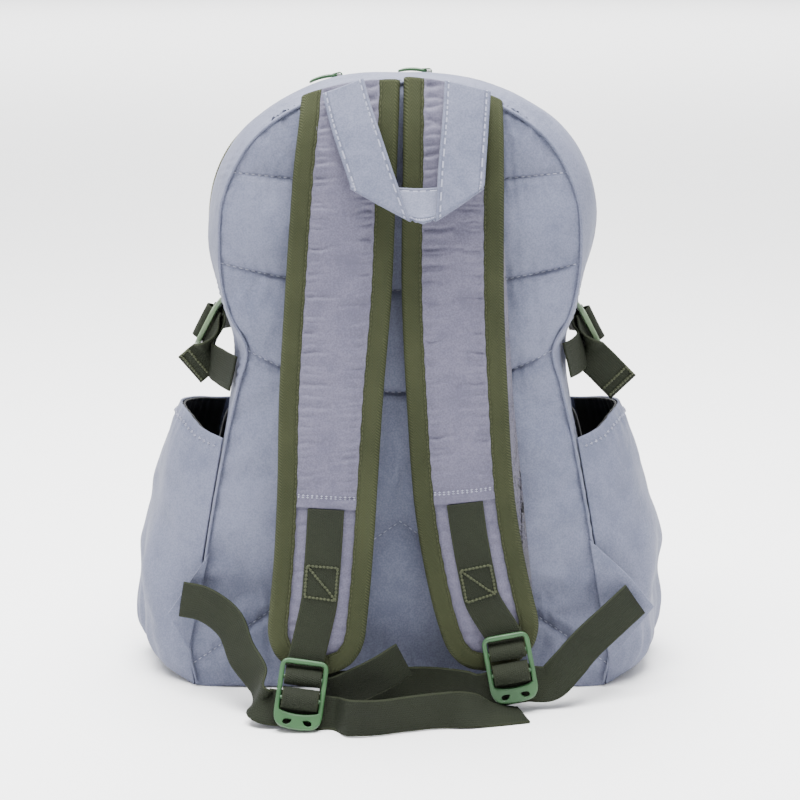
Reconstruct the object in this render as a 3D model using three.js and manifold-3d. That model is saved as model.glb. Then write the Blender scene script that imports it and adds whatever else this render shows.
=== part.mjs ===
// Sports backpack, standing on its base with the harness side towards -Y.
// Millimetres, +Z up, +X to the right of someone who looks at the harness.
import * as THREE from 'three';
import { mergeVertices } from 'three/addons/utils/BufferGeometryUtils.js';
import Module from 'manifold-3d';

const wasm = await Module();
wasm.setup();

// Main sizes of the bag
const BAG_WIDTH = 275;
const BAG_HEIGHT = 436;
const BAG_DEPTH = 150;
const GUSSET_WALL = 2;
const BASE_THICKNESS = 3;
const PANEL_PAD = 9;
const PANEL_BACKING = 3;
const PANEL_BACKING_OUTSIDE = 0.2;
const PANEL_CROWDING = 1.15;
const PANEL_RIM_PAD = 0.1;
const PANEL_RIM_POWER = 8;
const FRONT_PUFF = 14;
const FRONT_WALL = 2;
const FRONT_SIDE_POWER = 3;
const FRONT_RISE_POWER = 0.5;
const FRONT_ROW_STEP = 3;
const BASE_LEDGE = 1;
const BASE_CORNER = 12;
const BASE_CORNER_STEPS = 3;

// Clearances between sewn pieces
const SEAM_GAP = 0.3;
const SKIN_GAP = 0.9;

// Zip round the arch of the gusset
const ZIP_SLOT = 12;
const ZIP_TEETH_WIDTH = 3;
const ZIP_TEETH_HEIGHT = 1.4;
const ZIP_TAPE = 1;
const ZIP_RECESS = 0.6;
const ZIP_STEPS = 26;
const ZIP_END = 0.01;
const ZIP_REACH = 0.004;
const SLIDER_LENGTH = 10;
const SLIDER_WIDTH = 8;
const SLIDER_PLATE = 2;
const BAIL_PIN_RADIUS = 0.9;
const BAIL_POST = 1.2;
const BAIL_POST_LENGTH = 3;
const BAIL_POST_CAP = 0.6;
const BAIL_POST_SINK = 0.2;
const BAIL_PIN_SIDES = 8;
const PULL_LENGTH = 22;
const PULL_WIDTH = 7.5;
const PULL_THICKNESS = 2.6;
const PULL_EYE_WIDTH = 2.6;
const PULL_EYE_WALL = 1.1;
const PULL_NECK = 2.2;
const PULL_EYE_STEPS = 5;
const HINGE_GAP = 0.35;

// Side pockets
const POCKET_HEIGHT = 196;
const POCKET_BULGE = 46;
const POCKET_WALL = 1.8;
const POCKET_LINING = 1;
const POCKET_FOLD = 2.2;
const POCKET_FOLD_WAVE = 19;
const RIM_HEM = 4;
const LINING_ROWS = 6;
const POCKET_FLOOR = 0.6;

// Shoulder straps
const STRAP_WIDTH = 66;
const STRAP_EDGE = 6.4;
const STRAP_PUFF = 1.9;
const PAD_EDGE_SHARE = 0.22;
const PAD_SHOULDER = 9;
const PAD_ROOT_FLAT = 6;
const PAD_ROOT_FULL = 40;
const BINDING_WIDTH = 12;
const BINDING_WALL = 1.2;
const BINDING_FLANK = 0.55;
const COVER_WALL = 1.2;
const STRAP_END_ROUND = 34;
const STRAP_END_EASE = 0.5;
const STRAP_END_POWER = 2.6;
const STRAP_END_NARROW = 0.4;
const STRAP_WEBBING_END = 0.875;

// Webbing and buckles
const WEBBING_WIDTH = 25;
const WEBBING = 1.5;
const BUCKLE_LENGTH = 48;
const BUCKLE_RAIL = 3.4;
const BUCKLE_THICKNESS = 4;
const BUCKLE_PLATE = 11.5;
const BUCKLE_CORNER = 7;
const BAR_RADIUS = 1.5;
const BUCKLE_HOLE = 4;
const BAR_SIDES = 8;
const GRIP_BAR_RISE = 0.7;
const LOOP_BAR_RISE = -0.1;
const WEBBING_PLAY = 0.75;
const FLOOR_GAP = 0.4;
const LOOP_STRIP_WIDTH = 31;
const LOOP_STRIP = 2.4;
const TAB_THICKNESS = 2.6;
const TAB_SPREAD = 2;
const TAB_ROWS = 4;

const HALF_WIDTH = BAG_WIDTH / 2;
const BACK_Y = -BAG_DEPTH * 0.467;
const BASE_TOP = BASE_THICKNESS + SEAM_GAP;
const PANEL_FACE = BACK_Y - SEAM_GAP;
const BUCKLE_WIDTH = WEBBING_WIDTH + 2 * BUCKLE_RAIL + 2 * WEBBING_PLAY;
const PULL_BORE = BAIL_PIN_RADIUS + HINGE_GAP;
const PULL_EYE = PULL_BORE + PULL_EYE_WALL;
const BAIL_PIN_HEIGHT = PULL_EYE + HINGE_GAP;

// Colours seen on the bag
const NYLON = { color: 0xa9b0ca, roughness: 0.8, metalness: 0 };
const STRAP_NYLON = { color: 0xa8a3bd, roughness: 0.8, metalness: 0 };
const OLIVE_BINDING = { color: 0x66703f, roughness: 0.9, metalness: 0 };
const OLIVE_WEBBING = { color: 0x464f2f, roughness: 0.9, metalness: 0 };
const GREEN_PLASTIC = { color: 0x4a7a45, roughness: 0.45, metalness: 0 };
const BLACK_LINING = { color: 0x101210, roughness: 0.95, metalness: 0 };
const ZIP_TAPE_CLOTH = { color: 0x6c6c35, roughness: 0.9, metalness: 0 };
const SLIDER_METAL = { color: 0xc9c9c6, roughness: 0.3, metalness: 1 };

// Half outline of the bag from its base up to the crown. seam: the edge of the back
// panel; girth: the widest ring of the gusset. x as a share of the half width, z as a
// share of the height.
const OUTLINE = [
  { place: 'base', seamX: 1.07, seamZ: 0.0, girthX: 1.09, girthZ: 0.0 },
  { place: 'foot', seamX: 1.1, seamZ: 0.06, girthX: 1.11, girthZ: 0.06 },
  { place: 'shin', seamX: 1.025, seamZ: 0.185, girthX: 1.045, girthZ: 0.185 },
  { place: 'pocket', seamX: 0.975, seamZ: 0.28, girthX: 0.995, girthZ: 0.28 },
  { place: 'rim', seamX: 0.895, seamZ: 0.41, girthX: 0.92, girthZ: 0.41 },
  { place: 'belt', seamX: 0.825, seamZ: 0.505, girthX: 0.865, girthZ: 0.505 },
  { place: 'waist', seamX: 0.785, seamZ: 0.562, girthX: 0.87, girthZ: 0.57 },
  { place: 'hip', seamX: 0.865, seamZ: 0.617, girthX: 0.905, girthZ: 0.62 },
  { place: 'flank', seamX: 0.905, seamZ: 0.67, girthX: 0.94, girthZ: 0.665 },
  { place: 'chest', seamX: 0.918, seamZ: 0.737, girthX: 0.997, girthZ: 0.735 },
  { place: 'armpit', seamX: 0.9, seamZ: 0.8, girthX: 0.993, girthZ: 0.8 },
  { place: 'shoulder', seamX: 0.838, seamZ: 0.853, girthX: 0.95, girthZ: 0.853 },
  { place: 'yoke', seamX: 0.74, seamZ: 0.9, girthX: 0.865, girthZ: 0.9 },
  { place: 'neck', seamX: 0.6, seamZ: 0.936, girthX: 0.73, girthZ: 0.938 },
  { place: 'collar', seamX: 0.41, seamZ: 0.966, girthX: 0.53, girthZ: 0.972 },
  { place: 'top', seamX: 0.205, seamZ: 0.984, girthX: 0.27, girthZ: 0.995 },
  { place: 'crown', seamX: 0.0, seamZ: 0.99, girthX: 0.0, girthZ: 1.0 },
];

// Rings of the gusset from the harness side to the front. deep: share of the depth;
// bulge: 0 at the seam outline, 1 at the girth outline; drop: share of the height that
// the crown falls towards the front.
const BACK_RINGS = [
  { deep: 0.022, bulge: 0.0, drop: 0.0 },
  { deep: 0.08, bulge: 0.6, drop: 0.0 },
  { deep: 0.19, bulge: 0.95, drop: 0.0 },
  { deep: 0.32, bulge: 1.0, drop: 0.004 },
  { deep: 0.46, bulge: 1.0, drop: 0.014 },
];
const FRONT_RINGS = [
  { deep: 0.54, bulge: 1.0, drop: 0.022 },
  { deep: 0.72, bulge: 0.9, drop: 0.055 },
  { deep: 0.93, bulge: 0.45, drop: 0.108 },
  { deep: 0.985, bulge: 0.05, drop: 0.128 },
];
const FRONT_DROP = 0.13;
const RING_STEPS = 40;
const ZIP_FIRST = 0.15;
const ZIP_FADE = 0.035;
const ZIP_MIDDLE = 0.5;
const ARCH_SEARCH_TURNS = 30;
const ARCH_LOW_PLACE = 0.3;
// Section of the zip. across: share of the slot's width; out: share of the teeth's height.
const ZIP_PROFILE = [
  { across: -0.5, out: 0 },
  { across: -ZIP_TEETH_WIDTH / 2 / ZIP_SLOT, out: 0 },
  { across: 0, out: 1 },
  { across: ZIP_TEETH_WIDTH / 2 / ZIP_SLOT, out: 0 },
  { across: 0.5, out: 0 },
];
// The two sliders, each at its place round the arch
const SLIDERS = [
  { name: 'a', place: 0.517 },
  { name: 'b', place: 0.4645 },
];
// Half plan of a slider's plate. along: share of its length; aside: share of its width.
const SLIDER_PLAN = [
  { along: -0.5, aside: 0.3 },
  { along: -0.2, aside: 0.5 },
  { along: 0.5, aside: 0.42 },
];
// Arched pull from its neck to its tip. along: share of the length; wide and thick:
// shares of the width and thickness; rise: height of the arch in millimetres.
const PULL_ROWS = [
  { along: 0.16, wide: 0.6, rise: 0.3, thick: 0.85 },
  { along: 0.3, wide: 0.95, rise: 0.9, thick: 1.0 },
  { along: 0.52, wide: 1.0, rise: 1.1, thick: 1.0 },
  { along: 0.76, wide: 0.96, rise: 0.6, thick: 0.95 },
  { along: 0.93, wide: 0.84, rise: -0.4, thick: 0.9 },
  { along: 1.0, wide: 0.5, rise: -1.0, thick: 0.55 },
];
const PULL_CROWN = [
  { across: -1, high: 0.55 },
  { across: -0.6, high: 1 },
  { across: 0.6, high: 1 },
  { across: 1, high: 0.55 },
];

// Rows of the quilted back panel. side and middle: height of the row at the panel's
// edge and at its centre; bend: how the row runs between them; pad: share of the full
// padding. Rows with little padding are the stitched seams.
const QUILT_ROWS = [
  { side: 0.0, middle: 0.0, bend: 1.0, pad: 0.15 },
  { side: 0.012, middle: 0.1, bend: 1.0, pad: 0.62 },
  { side: 0.022, middle: 0.25, bend: 1.0, pad: 0.72 },
  { side: 0.03, middle: 0.276, bend: 1.0, pad: 0.18 },
  { side: 0.045, middle: 0.3, bend: 1.0, pad: 0.72 },
  { side: 0.2, middle: 0.35, bend: 1.0, pad: 1.0 },
  { side: 0.4, middle: 0.42, bend: 0.6, pad: 1.0 },
  { side: 0.545, middle: 0.478, bend: 0.5, pad: 0.8 },
  { side: 0.563, middle: 0.492, bend: 0.5, pad: 0.18 },
  { side: 0.58, middle: 0.506, bend: 0.5, pad: 0.8 },
  { side: 0.64, middle: 0.585, bend: 0.5, pad: 1.0 },
  { side: 0.69, middle: 0.645, bend: 0.6, pad: 0.75 },
  { side: 0.703, middle: 0.658, bend: 0.6, pad: 0.18 },
  { side: 0.716, middle: 0.671, bend: 0.6, pad: 0.75 },
  { side: 0.78, middle: 0.745, bend: 0.7, pad: 1.0 },
  { side: 0.835, middle: 0.812, bend: 0.8, pad: 0.7 },
  { side: 0.847, middle: 0.825, bend: 0.8, pad: 0.18 },
  { side: 0.859, middle: 0.84, bend: 0.8, pad: 0.65 },
  { side: 0.9, middle: 0.915, bend: 1.0, pad: 0.7 },
  { side: 0.93, middle: 0.989, bend: 2.0, pad: 0.15 },
];
const PANEL_COLUMNS = 10;

// Side pocket from rim to floor. up: share of the pocket's height; out: share of its
// bulge beyond the gusset.
const POCKET_ROWS = [
  { up: 1.0, out: 0.78 },
  { up: 0.9, out: 0.87 },
  { up: 0.74, out: 0.94 },
  { up: 0.56, out: 0.99 },
  { up: 0.38, out: 0.98 },
  { up: 0.22, out: 0.92 },
  { up: 0.1, out: 0.8 },
  { up: 0.035, out: 0.58 },
  { up: 0.008, out: 0.3 },
  { up: 0.0, out: 0.04 },
];
// Plan of the pocket from the back seam to the front seam. along: share of the bag's
// depth; out: share of the row's bulge; lift: rise of the rim as a share of its height.
const POCKET_PLAN = [
  { along: 0.03, out: 0.0, lift: -0.07 },
  { along: 0.07, out: 0.42, lift: -0.04 },
  { along: 0.17, out: 0.76, lift: 0.0 },
  { along: 0.31, out: 0.96, lift: 0.01 },
  { along: 0.47, out: 1.0, lift: 0.0 },
  { along: 0.64, out: 0.93, lift: -0.02 },
  { along: 0.79, out: 0.74, lift: -0.04 },
  { along: 0.9, out: 0.42, lift: -0.06 },
  { along: 0.955, out: 0.0, lift: -0.07 },
];

// Centre lines of the shoulder straps from the crown to the lower end. x: share of the
// half width; stand: distance from the back panel as a share of the depth; z: share of
// the height; wide: share of the strap's width.
const STRAP_ROUTES = {
  left: [
    { x: -0.243, stand: 0.057, z: 0.972, wide: 0.96 },
    { x: -0.252, stand: 0.105, z: 0.925, wide: 0.97 },
    { x: -0.27, stand: 0.148, z: 0.85, wide: 1.0 },
    { x: -0.305, stand: 0.195, z: 0.665, wide: 1.04 },
    { x: -0.342, stand: 0.25, z: 0.505, wide: 1.02 },
    { x: -0.364, stand: 0.305, z: 0.35, wide: 0.98 },
    { x: -0.386, stand: 0.352, z: 0.24, wide: 0.97 },
    { x: -0.415, stand: 0.384, z: 0.145, wide: 0.97 },
    { x: -0.442, stand: 0.4, z: 0.075, wide: 0.96 },
  ],
  right: [
    { x: 0.262, stand: 0.057, z: 0.972, wide: 0.96 },
    { x: 0.262, stand: 0.105, z: 0.925, wide: 0.97 },
    { x: 0.262, stand: 0.145, z: 0.85, wide: 0.98 },
    { x: 0.262, stand: 0.17, z: 0.665, wide: 1.0 },
    { x: 0.285, stand: 0.195, z: 0.505, wide: 1.0 },
    { x: 0.33, stand: 0.21, z: 0.32, wide: 1.0 },
    { x: 0.405, stand: 0.225, z: 0.19, wide: 1.0 },
    { x: 0.47, stand: 0.23, z: 0.115, wide: 0.98 },
    { x: 0.52, stand: 0.232, z: 0.065, wide: 0.95 },
  ],
};
const STRAP_HEM = { left: 0.715, right: 0.7 };
const STRAP_ROWS = 10;
const STRAP_END_ROWS = [0.3, 0.55, 0.76, 0.91, 0.985];
const STRAP_COLUMNS = [-1, -0.94, -0.62, -0.3, 0.3, 0.62, 0.94, 1];
const COVER_ROWS = 10;
const COVER_COLUMNS = [-1, -0.7, -0.3, 0.3, 0.7, 1];

// Grab loop from its left root round the sag to its right root. x: share of the half
// width; stand: as above; z: share of the height; ax, ay, az: direction across the strip.
const LOOP_ROUTE = [
  { x: -0.278, stand: 0.114, z: 0.978, ax: 0.92, ay: 0.04, az: 0.39 },
  { x: -0.238, stand: 0.208, z: 0.937, ax: 0.94, ay: 0.0, az: 0.33 },
  { x: -0.198, stand: 0.252, z: 0.893, ax: 0.93, ay: -0.08, az: 0.36 },
  { x: -0.155, stand: 0.285, z: 0.856, ax: 0.86, ay: -0.22, az: 0.46 },
  { x: -0.087, stand: 0.312, z: 0.827, ax: 0.42, ay: -0.82, az: 0.38 },
  { x: 0.0, stand: 0.32, z: 0.807, ax: -0.08, ay: -0.93, az: -0.35 },
  { x: 0.101, stand: 0.322, z: 0.803, ax: 0.0, ay: -0.80, az: -0.60 },
  { x: 0.188, stand: 0.32, z: 0.809, ax: 0.08, ay: -0.93, az: -0.35 },
  { x: 0.251, stand: 0.312, z: 0.825, ax: -0.42, ay: -0.85, az: 0.30 },
  { x: 0.29, stand: 0.285, z: 0.853, ax: -0.93, ay: -0.25, az: 0.25 },
  { x: 0.307, stand: 0.252, z: 0.89, ax: -0.99, ay: -0.06, az: 0.10 },
  { x: 0.32, stand: 0.205, z: 0.934, ax: -0.99, ay: 0.0, az: 0.10 },
  { x: 0.332, stand: 0.106, z: 0.978, ax: -0.98, ay: 0.0, az: 0.20 },
];

// Ladder buckles. x, stand, z: place of the buckle's middle; down and across: its axes.
const BUCKLES = {
  left: { x: -0.491, stand: 0.563, z: 0.053, down: [-0.124, -0.476, -0.87], across: [1, 0, -0.14] },
  right: { x: 0.557, stand: 0.354, z: 0.0715, down: [0.185, -0.205, -0.96], across: [1, 0, 0.19] },
};

// The buckle's two bars, from its middle towards its lower end
const BAR_PLACES = { loop: -0.235 * BUCKLE_LENGTH, grip: 0.07 * BUCKLE_LENGTH };
// Steps along each kind of webbing
const WEBBING_STEPS = {
  roll: 14,
  sewn: 25,
  anchor: 16,
  adjuster: 14,
  tail: { left: 16, right: 25 },
  side: 7,
  grabLoop: 28,
};

// Lower webbing from the tip of each tab to the back of its buckle, and the free tails.
// x: share of the half width; stand: as above; rise: height in webbing widths.
const ADJUSTER_ROUTES = {
  left: [
    { x: -1.125, stand: 0.085, rise: 2.75, ax: 0.4, ay: 0.0, az: 0.92 },
    { x: -1.0, stand: 0.145, rise: 2.7, ax: 0.33, ay: 0.0, az: 0.94 },
    { x: -0.865, stand: 0.235, rise: 2.3, ax: 0.5, ay: -0.05, az: 0.86 },
    { x: -0.8, stand: 0.335, rise: 1.65, ax: 0.55, ay: -0.1, az: 0.82 },
    { x: -0.71, stand: 0.435, rise: 1.1, ax: 0.35, ay: -0.1, az: 0.93 },
    { aside: -0.55, down: 0.17, out: -0.19 },
    { aside: -0.2, down: 0.2, out: -0.15 },
    { aside: 0.2, down: 0.2, out: -0.14 },
  ],
  right: [
    { x: 1.21, stand: 0.085, rise: 2.75, ax: -0.6, ay: 0.0, az: 0.8 },
    { x: 1.1, stand: 0.165, rise: 2.35, ax: -0.55, ay: 0.0, az: 0.83 },
    { x: 0.95, stand: 0.24, rise: 1.72, ax: -0.6, ay: 0.0, az: 0.8 },
    { x: 0.84, stand: 0.29, rise: 1.12, ax: -0.55, ay: 0.15, az: 0.82 },
    { x: 0.76, stand: 0.31, rise: 0.72, ax: -0.25, ay: 0.3, az: 0.92 },
    { aside: 0.2, down: 0.29, out: -0.16 },
    { aside: -0.2, down: 0.27, out: -0.14 },
  ],
};
const TAIL_ROUTES = {
  left: [
    { aside: -0.3, down: 0.21, out: -0.085 },
    { aside: 0.2, down: 0.21, out: -0.085 },
    { aside: 0.5, down: 0.21, out: -0.095 },
    { x: -0.245, stand: 0.69, rise: 0.54, ax: 0.0, ay: 0.1, az: 1.0 },
    { x: -0.11, stand: 0.68, rise: 0.53, ax: 0.0, ay: 0.0, az: 1.0 },
    { x: 0.03, stand: 0.635, rise: 0.53, ax: 0.0, ay: 0.0, az: 1.0 },
    { x: 0.19, stand: 0.59, rise: 0.53, ax: 0.0, ay: 0.05, az: 1.0 },
    { x: 0.36, stand: 0.535, rise: 0.42, ax: 0.0, ay: 0.65, az: 0.75 },
    { x: 0.49, stand: 0.48, rise: 0.17, ax: 0.0, ay: 0.97, az: 0.24 },
    { x: 0.62, stand: 0.44, rise: 0.08, ax: 0.0, ay: 1.0, az: 0.03 },
  ],
  right: [
    { aside: 0.3, down: 0.25, out: -0.088 },
    { aside: -0.2, down: 0.25, out: -0.088 },
    { aside: -0.5, down: 0.27, out: -0.1 },
    { x: 0.33, stand: 0.29, rise: 0.54, ax: 0.05, ay: 0.0, az: 1.0 },
    { x: 0.16, stand: 0.24, rise: 0.54, ax: 0.0, ay: 0.0, az: 1.0 },
    { x: -0.02, stand: 0.255, rise: 0.56, ax: 0.0, ay: 0.0, az: 1.0 },
    { x: -0.19, stand: 0.3, rise: 0.58, ax: -0.1, ay: 0.0, az: 0.99 },
    { x: -0.335, stand: 0.335, rise: 0.6, ax: -0.05, ay: 0.0, az: 1.0 },
    { x: -0.4, stand: 0.375, rise: 0.58, ax: 0.0, ay: 0.0, az: 1.0 },
    { x: -0.345, stand: 0.425, rise: 0.62, ax: -0.15, ay: 0.0, az: 0.98 },
    { x: -0.2, stand: 0.42, rise: 0.94, ax: -0.38, ay: 0.0, az: 0.92 },
    { x: -0.08, stand: 0.41, rise: 1.26, ax: -0.55, ay: 0.0, az: 0.83 },
    { x: 0.02, stand: 0.36, rise: 1.52, ax: -0.68, ay: -0.1, az: 0.72 },
  ],
};

// Webbing rolled over the grip bar, in shares of the buckle's length
const ROLL_ROWS = [
  { down: 0.33, out: -0.14 },
  { down: 0.2, out: -0.14 },
  { down: 0.06, out: -0.125 },
  { down: -0.035, out: -0.07 },
  { down: -0.07, out: 0.02 },
  { down: -0.035, out: 0.1 },
  { down: 0.05, out: 0.145 },
  { down: 0.14, out: 0.125 },
  { down: 0.195, out: 0.06 },
  { down: 0.205, out: -0.02 },
  { down: 0.235, out: -0.075 },
  { down: 0.3, out: -0.088 },
];

// Webbing looped round the fixed bar and sewn back on itself
const FIXED_LOOP_ROWS = [
  { down: -0.44, out: -0.085 },
  { down: -0.385, out: -0.07 },
  { down: -0.335, out: -0.01 },
  { down: -0.28, out: 0.055 },
  { down: -0.215, out: 0.065 },
  { down: -0.155, out: 0.02 },
  { down: -0.15, out: -0.05 },
  { down: -0.21, out: -0.105 },
  { down: -0.35, out: -0.12 },
  { down: -0.55, out: -0.128 },
];

// Side compression straps. The rows with level lie across their buckle's frame.
const SIDE_BUCKLES = {
  left: { x: -1.01, stand: -0.51, z: 0.578, down: [-0.05, -1, 0], across: [0.46, 0, 0.89] },
  right: { x: 0.995, stand: -0.51, z: 0.574, down: [0.05, -1, 0], across: [0.46, 0, -0.89] },
};
const SIDE_ROUTES = {
  left: [
    { x: -0.85, stand: -0.02, z: 0.523, ax: 0.25, ay: 0.0, az: 0.97 },
    { x: -0.925, stand: -0.15, z: 0.526, ax: 0.2, ay: 0.0, az: 0.98 },
    { x: -0.985, stand: -0.28, z: 0.533, ax: 0.12, ay: 0.0, az: 0.99 },
    { level: 1, down: 0.42, out: -0.19 },
    { level: 1, down: 0.22, out: -0.14 },
  ],
  right: [
    { x: 0.85, stand: -0.02, z: 0.545, ax: -0.28, ay: 0.0, az: 0.96 },
    { x: 0.91, stand: -0.15, z: 0.545, ax: -0.25, ay: 0.0, az: 0.97 },
    { x: 0.95, stand: -0.28, z: 0.55, ax: -0.25, ay: 0.0, az: 0.97 },
    { level: -1, down: 0.42, out: -0.19 },
    { level: -1, down: 0.22, out: -0.14 },
  ],
};
const SIDE_TAILS = {
  left: [
    { level: 1, down: 0.25, out: -0.088 },
    { level: 1, down: 0.5, out: -0.1 },
    { x: -1.0, stand: -0.285, z: 0.54, ax: -0.1, ay: 0.0, az: 0.99 },
    { x: -1.055, stand: -0.28, z: 0.524, ax: -0.4, ay: 0.0, az: 0.92 },
    { x: -1.1, stand: -0.3, z: 0.511, ax: -0.53, ay: 0.0, az: 0.85 },
  ],
  right: [
    { level: -1, down: 0.25, out: -0.088 },
    { level: -1, down: 0.5, out: -0.1 },
    { x: 0.98, stand: -0.285, z: 0.545, ax: 0.1, ay: 0.0, az: 0.99 },
    { x: 1.06, stand: -0.28, z: 0.518, ax: 0.5, ay: 0.0, az: 0.87 },
    { x: 1.17, stand: -0.3, z: 0.482, ax: 0.63, ay: 0.0, az: 0.77 },
  ],
};
const SIDE_ANCHORS = {
  left: [
    { x: -0.925, stand: -0.97, z: 0.57, ax: 0.2, ay: 0.0, az: 0.98 },
    { x: -0.955, stand: -0.86, z: 0.572, ax: 0.35, ay: 0.0, az: 0.94 },
  ],
  right: [
    { x: 0.925, stand: -0.97, z: 0.565, ax: -0.2, ay: 0.0, az: 0.98 },
    { x: 0.955, stand: -0.86, z: 0.568, ax: -0.35, ay: 0.0, az: 0.94 },
  ],
};

// Fabric wings that carry the lower webbing, as four corners on each side.
// x: share of the half width; z: in webbing widths; y steps out by the tab's thickness.
const TAB_CORNERS = {
  left: [
    { x: -0.985, z: 4.0 },
    { x: -1.1, z: 1.15 },
    { x: -1.2, z: 2.25 },
    { x: -1.07, z: 3.3 },
  ],
  right: [
    { x: 0.975, z: 4.4 },
    { x: 1.09, z: 0.75 },
    { x: 1.315, z: 2.45 },
    { x: 1.185, z: 3.35 },
  ],
};

// Closed solid between a grid of front points and a grid of back points
function sheetSolid(front, back) {
  const rows = front.length;
  const columns = front[0].length;
  const points = [...front.flat(), ...back.flat()];
  const positions = new Float32Array(points.flatMap((p) => [p.x, p.y, p.z]));
  const backStart = rows * columns;
  const index = [];
  const quad = (a, b, c, d) => index.push(a, b, c, a, c, d);
  const at = (row, column) => row * columns + column;
  for (let row = 0; row < rows - 1; row += 1) {
    for (let column = 0; column < columns - 1; column += 1) {
      const corners = [
        at(row, column),
        at(row, column + 1),
        at(row + 1, column + 1),
        at(row + 1, column),
      ];
      quad(...corners);
      quad(...corners.map((corner) => corner + backStart).reverse());
    }
  }
  const rim = [];
  for (let column = 0; column < columns - 1; column += 1) {
    rim.push(at(0, column));
  }
  for (let row = 0; row < rows - 1; row += 1) {
    rim.push(at(row, columns - 1));
  }
  for (let column = columns - 1; column > 0; column -= 1) {
    rim.push(at(rows - 1, column));
  }
  for (let row = rows - 1; row > 0; row -= 1) {
    rim.push(at(row, 0));
  }
  rim.forEach((corner, place) => {
    const next = rim[(place + 1) % rim.length];
    quad(corner, corner + backStart, next + backStart, next);
  });
  const geometry = new THREE.BufferGeometry();
  geometry.setAttribute('position', new THREE.BufferAttribute(positions, 3));
  geometry.setIndex(index);
  return facingOut(geometry);
}

// The same geometry with its faces turned outwards
function facingOut(geometry) {
  const position = geometry.attributes.position;
  const index = geometry.index.array;
  const corners = [new THREE.Vector3(), new THREE.Vector3(), new THREE.Vector3()];
  let volume = 0;
  for (let face = 0; face < index.length; face += 3) {
    corners.forEach((corner, k) => corner.fromBufferAttribute(position, index[face + k]));
    volume += corners[0].dot(corners[1].clone().cross(corners[2]));
  }
  if (volume < 0) {
    const turned = Array.from(index);
    for (let face = 0; face < turned.length; face += 3) {
      [turned[face + 1], turned[face + 2]] = [turned[face + 2], turned[face + 1]];
    }
    geometry.setIndex(turned);
  }
  return geometry;
}

// Unit normals of a grid of points
function gridNormals(grid) {
  const clampIndex = (value, count) => Math.min(Math.max(value, 0), count - 1);
  return grid.map((line, row) =>
    line.map((_, column) => {
      const up = grid[clampIndex(row + 1, grid.length)][column];
      const down = grid[clampIndex(row - 1, grid.length)][column];
      const right = line[clampIndex(column + 1, line.length)];
      const left = line[clampIndex(column - 1, line.length)];
      const alongRows = up.clone().sub(down);
      const alongColumns = right.clone().sub(left);
      return alongRows.cross(alongColumns).normalize();
    }),
  );
}

// A wall laid on one side of a grid of points
function wallSolid(grid, thickness) {
  const normals = gridNormals(grid);
  const inner = grid.map((line, row) =>
    line.map((point, column) => point.clone().addScaledVector(normals[row][column], thickness)),
  );
  return sheetSolid(grid, inner);
}

// Manifold solid of a geometry, and the way back
function toManifold(geometry) {
  const bare = geometry.clone();
  bare.deleteAttribute('normal');
  bare.deleteAttribute('uv');
  const merged = mergeVertices(bare, 1e-4);
  return new wasm.Manifold(
    new wasm.Mesh({
      numProp: 3,
      vertProperties: Float32Array.from(merged.attributes.position.array),
      triVerts: Uint32Array.from(merged.index.array),
    }),
  );
}

function fromManifold(solid) {
  const mesh = solid.getMesh();
  const geometry = new THREE.BufferGeometry();
  const positions = new Float32Array((mesh.vertProperties.length / mesh.numProp) * 3);
  for (let vertex = 0; vertex * mesh.numProp < mesh.vertProperties.length; vertex += 1) {
    for (let k = 0; k < 3; k += 1) {
      positions[vertex * 3 + k] = mesh.vertProperties[vertex * mesh.numProp + k];
    }
  }
  geometry.setAttribute('position', new THREE.BufferAttribute(positions, 3));
  geometry.setIndex(Array.from(mesh.triVerts));
  return geometry;
}

function joined(geometries) {
  return fromManifold(geometries.map(toManifold).reduce((whole, next) => whole.add(next)));
}

function smooth(value, low, high) {
  return THREE.MathUtils.smoothstep(value, low, high);
}

// Outline curves over the whole arch, from the left base corner to the right one
function archCurve(xKey, zKey) {
  const height = BAG_HEIGHT - BASE_TOP;
  const half = (side) =>
    OUTLINE.map((row) => new THREE.Vector3(side * row[xKey] * HALF_WIDTH, 0, BASE_TOP + row[zKey] * height));
  const left = half(-1);
  const right = half(1).slice(0, -1).reverse();
  return new THREE.CatmullRomCurve3([...left, ...right], false, 'centripetal');
}

const seamCurve = archCurve('seamX', 'seamZ');
const girthCurve = archCurve('girthX', 'girthZ');

// A point of the gusset: place runs 0 to 1 round the arch
function gussetPoint(place, deep, bulge, drop) {
  const point = seamCurve.getPoint(place).lerp(girthCurve.getPoint(place), bulge);
  const high = point.z / BAG_HEIGHT;
  point.z -= drop * BAG_HEIGHT * high * high;
  point.y = BACK_Y + deep * BAG_DEPTH;
  return point;
}

// How far the zip slot is open at a place round the arch
function zipOpening(place) {
  const fromEnd = Math.min(place, 1 - place);
  return smooth(fromEnd, ZIP_FIRST - ZIP_FADE, ZIP_FIRST);
}

function ringGrid(rings, slotRow, slotSide) {
  return rings.map((ring, row) => {
    const line = [];
    for (let step = 0; step <= RING_STEPS; step += 1) {
      const place = step / RING_STEPS;
      const point = gussetPoint(place, ring.deep, ring.bulge, ring.drop);
      if (row === slotRow) {
        const halfSlot = (ZIP_SLOT / 2) * zipOpening(place) + SEAM_GAP / 2;
        point.y = BACK_Y + ZIP_MIDDLE * BAG_DEPTH + slotSide * halfSlot;
      }
      line.push(point);
    }
    return line;
  });
}

// Height of the arch above a distance from the centre line
function archHeight(distance, drop) {
  let low = 0;
  let high = 0.5;
  for (let turn = 0; turn < ARCH_SEARCH_TURNS; turn += 1) {
    const middle = (low + high) / 2;
    if (-seamCurve.getPoint(middle).x > distance || middle < ARCH_LOW_PLACE) {
      low = middle;
    } else {
      high = middle;
    }
  }
  return gussetPoint((low + high) / 2, 0, 0, drop).z;
}

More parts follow.
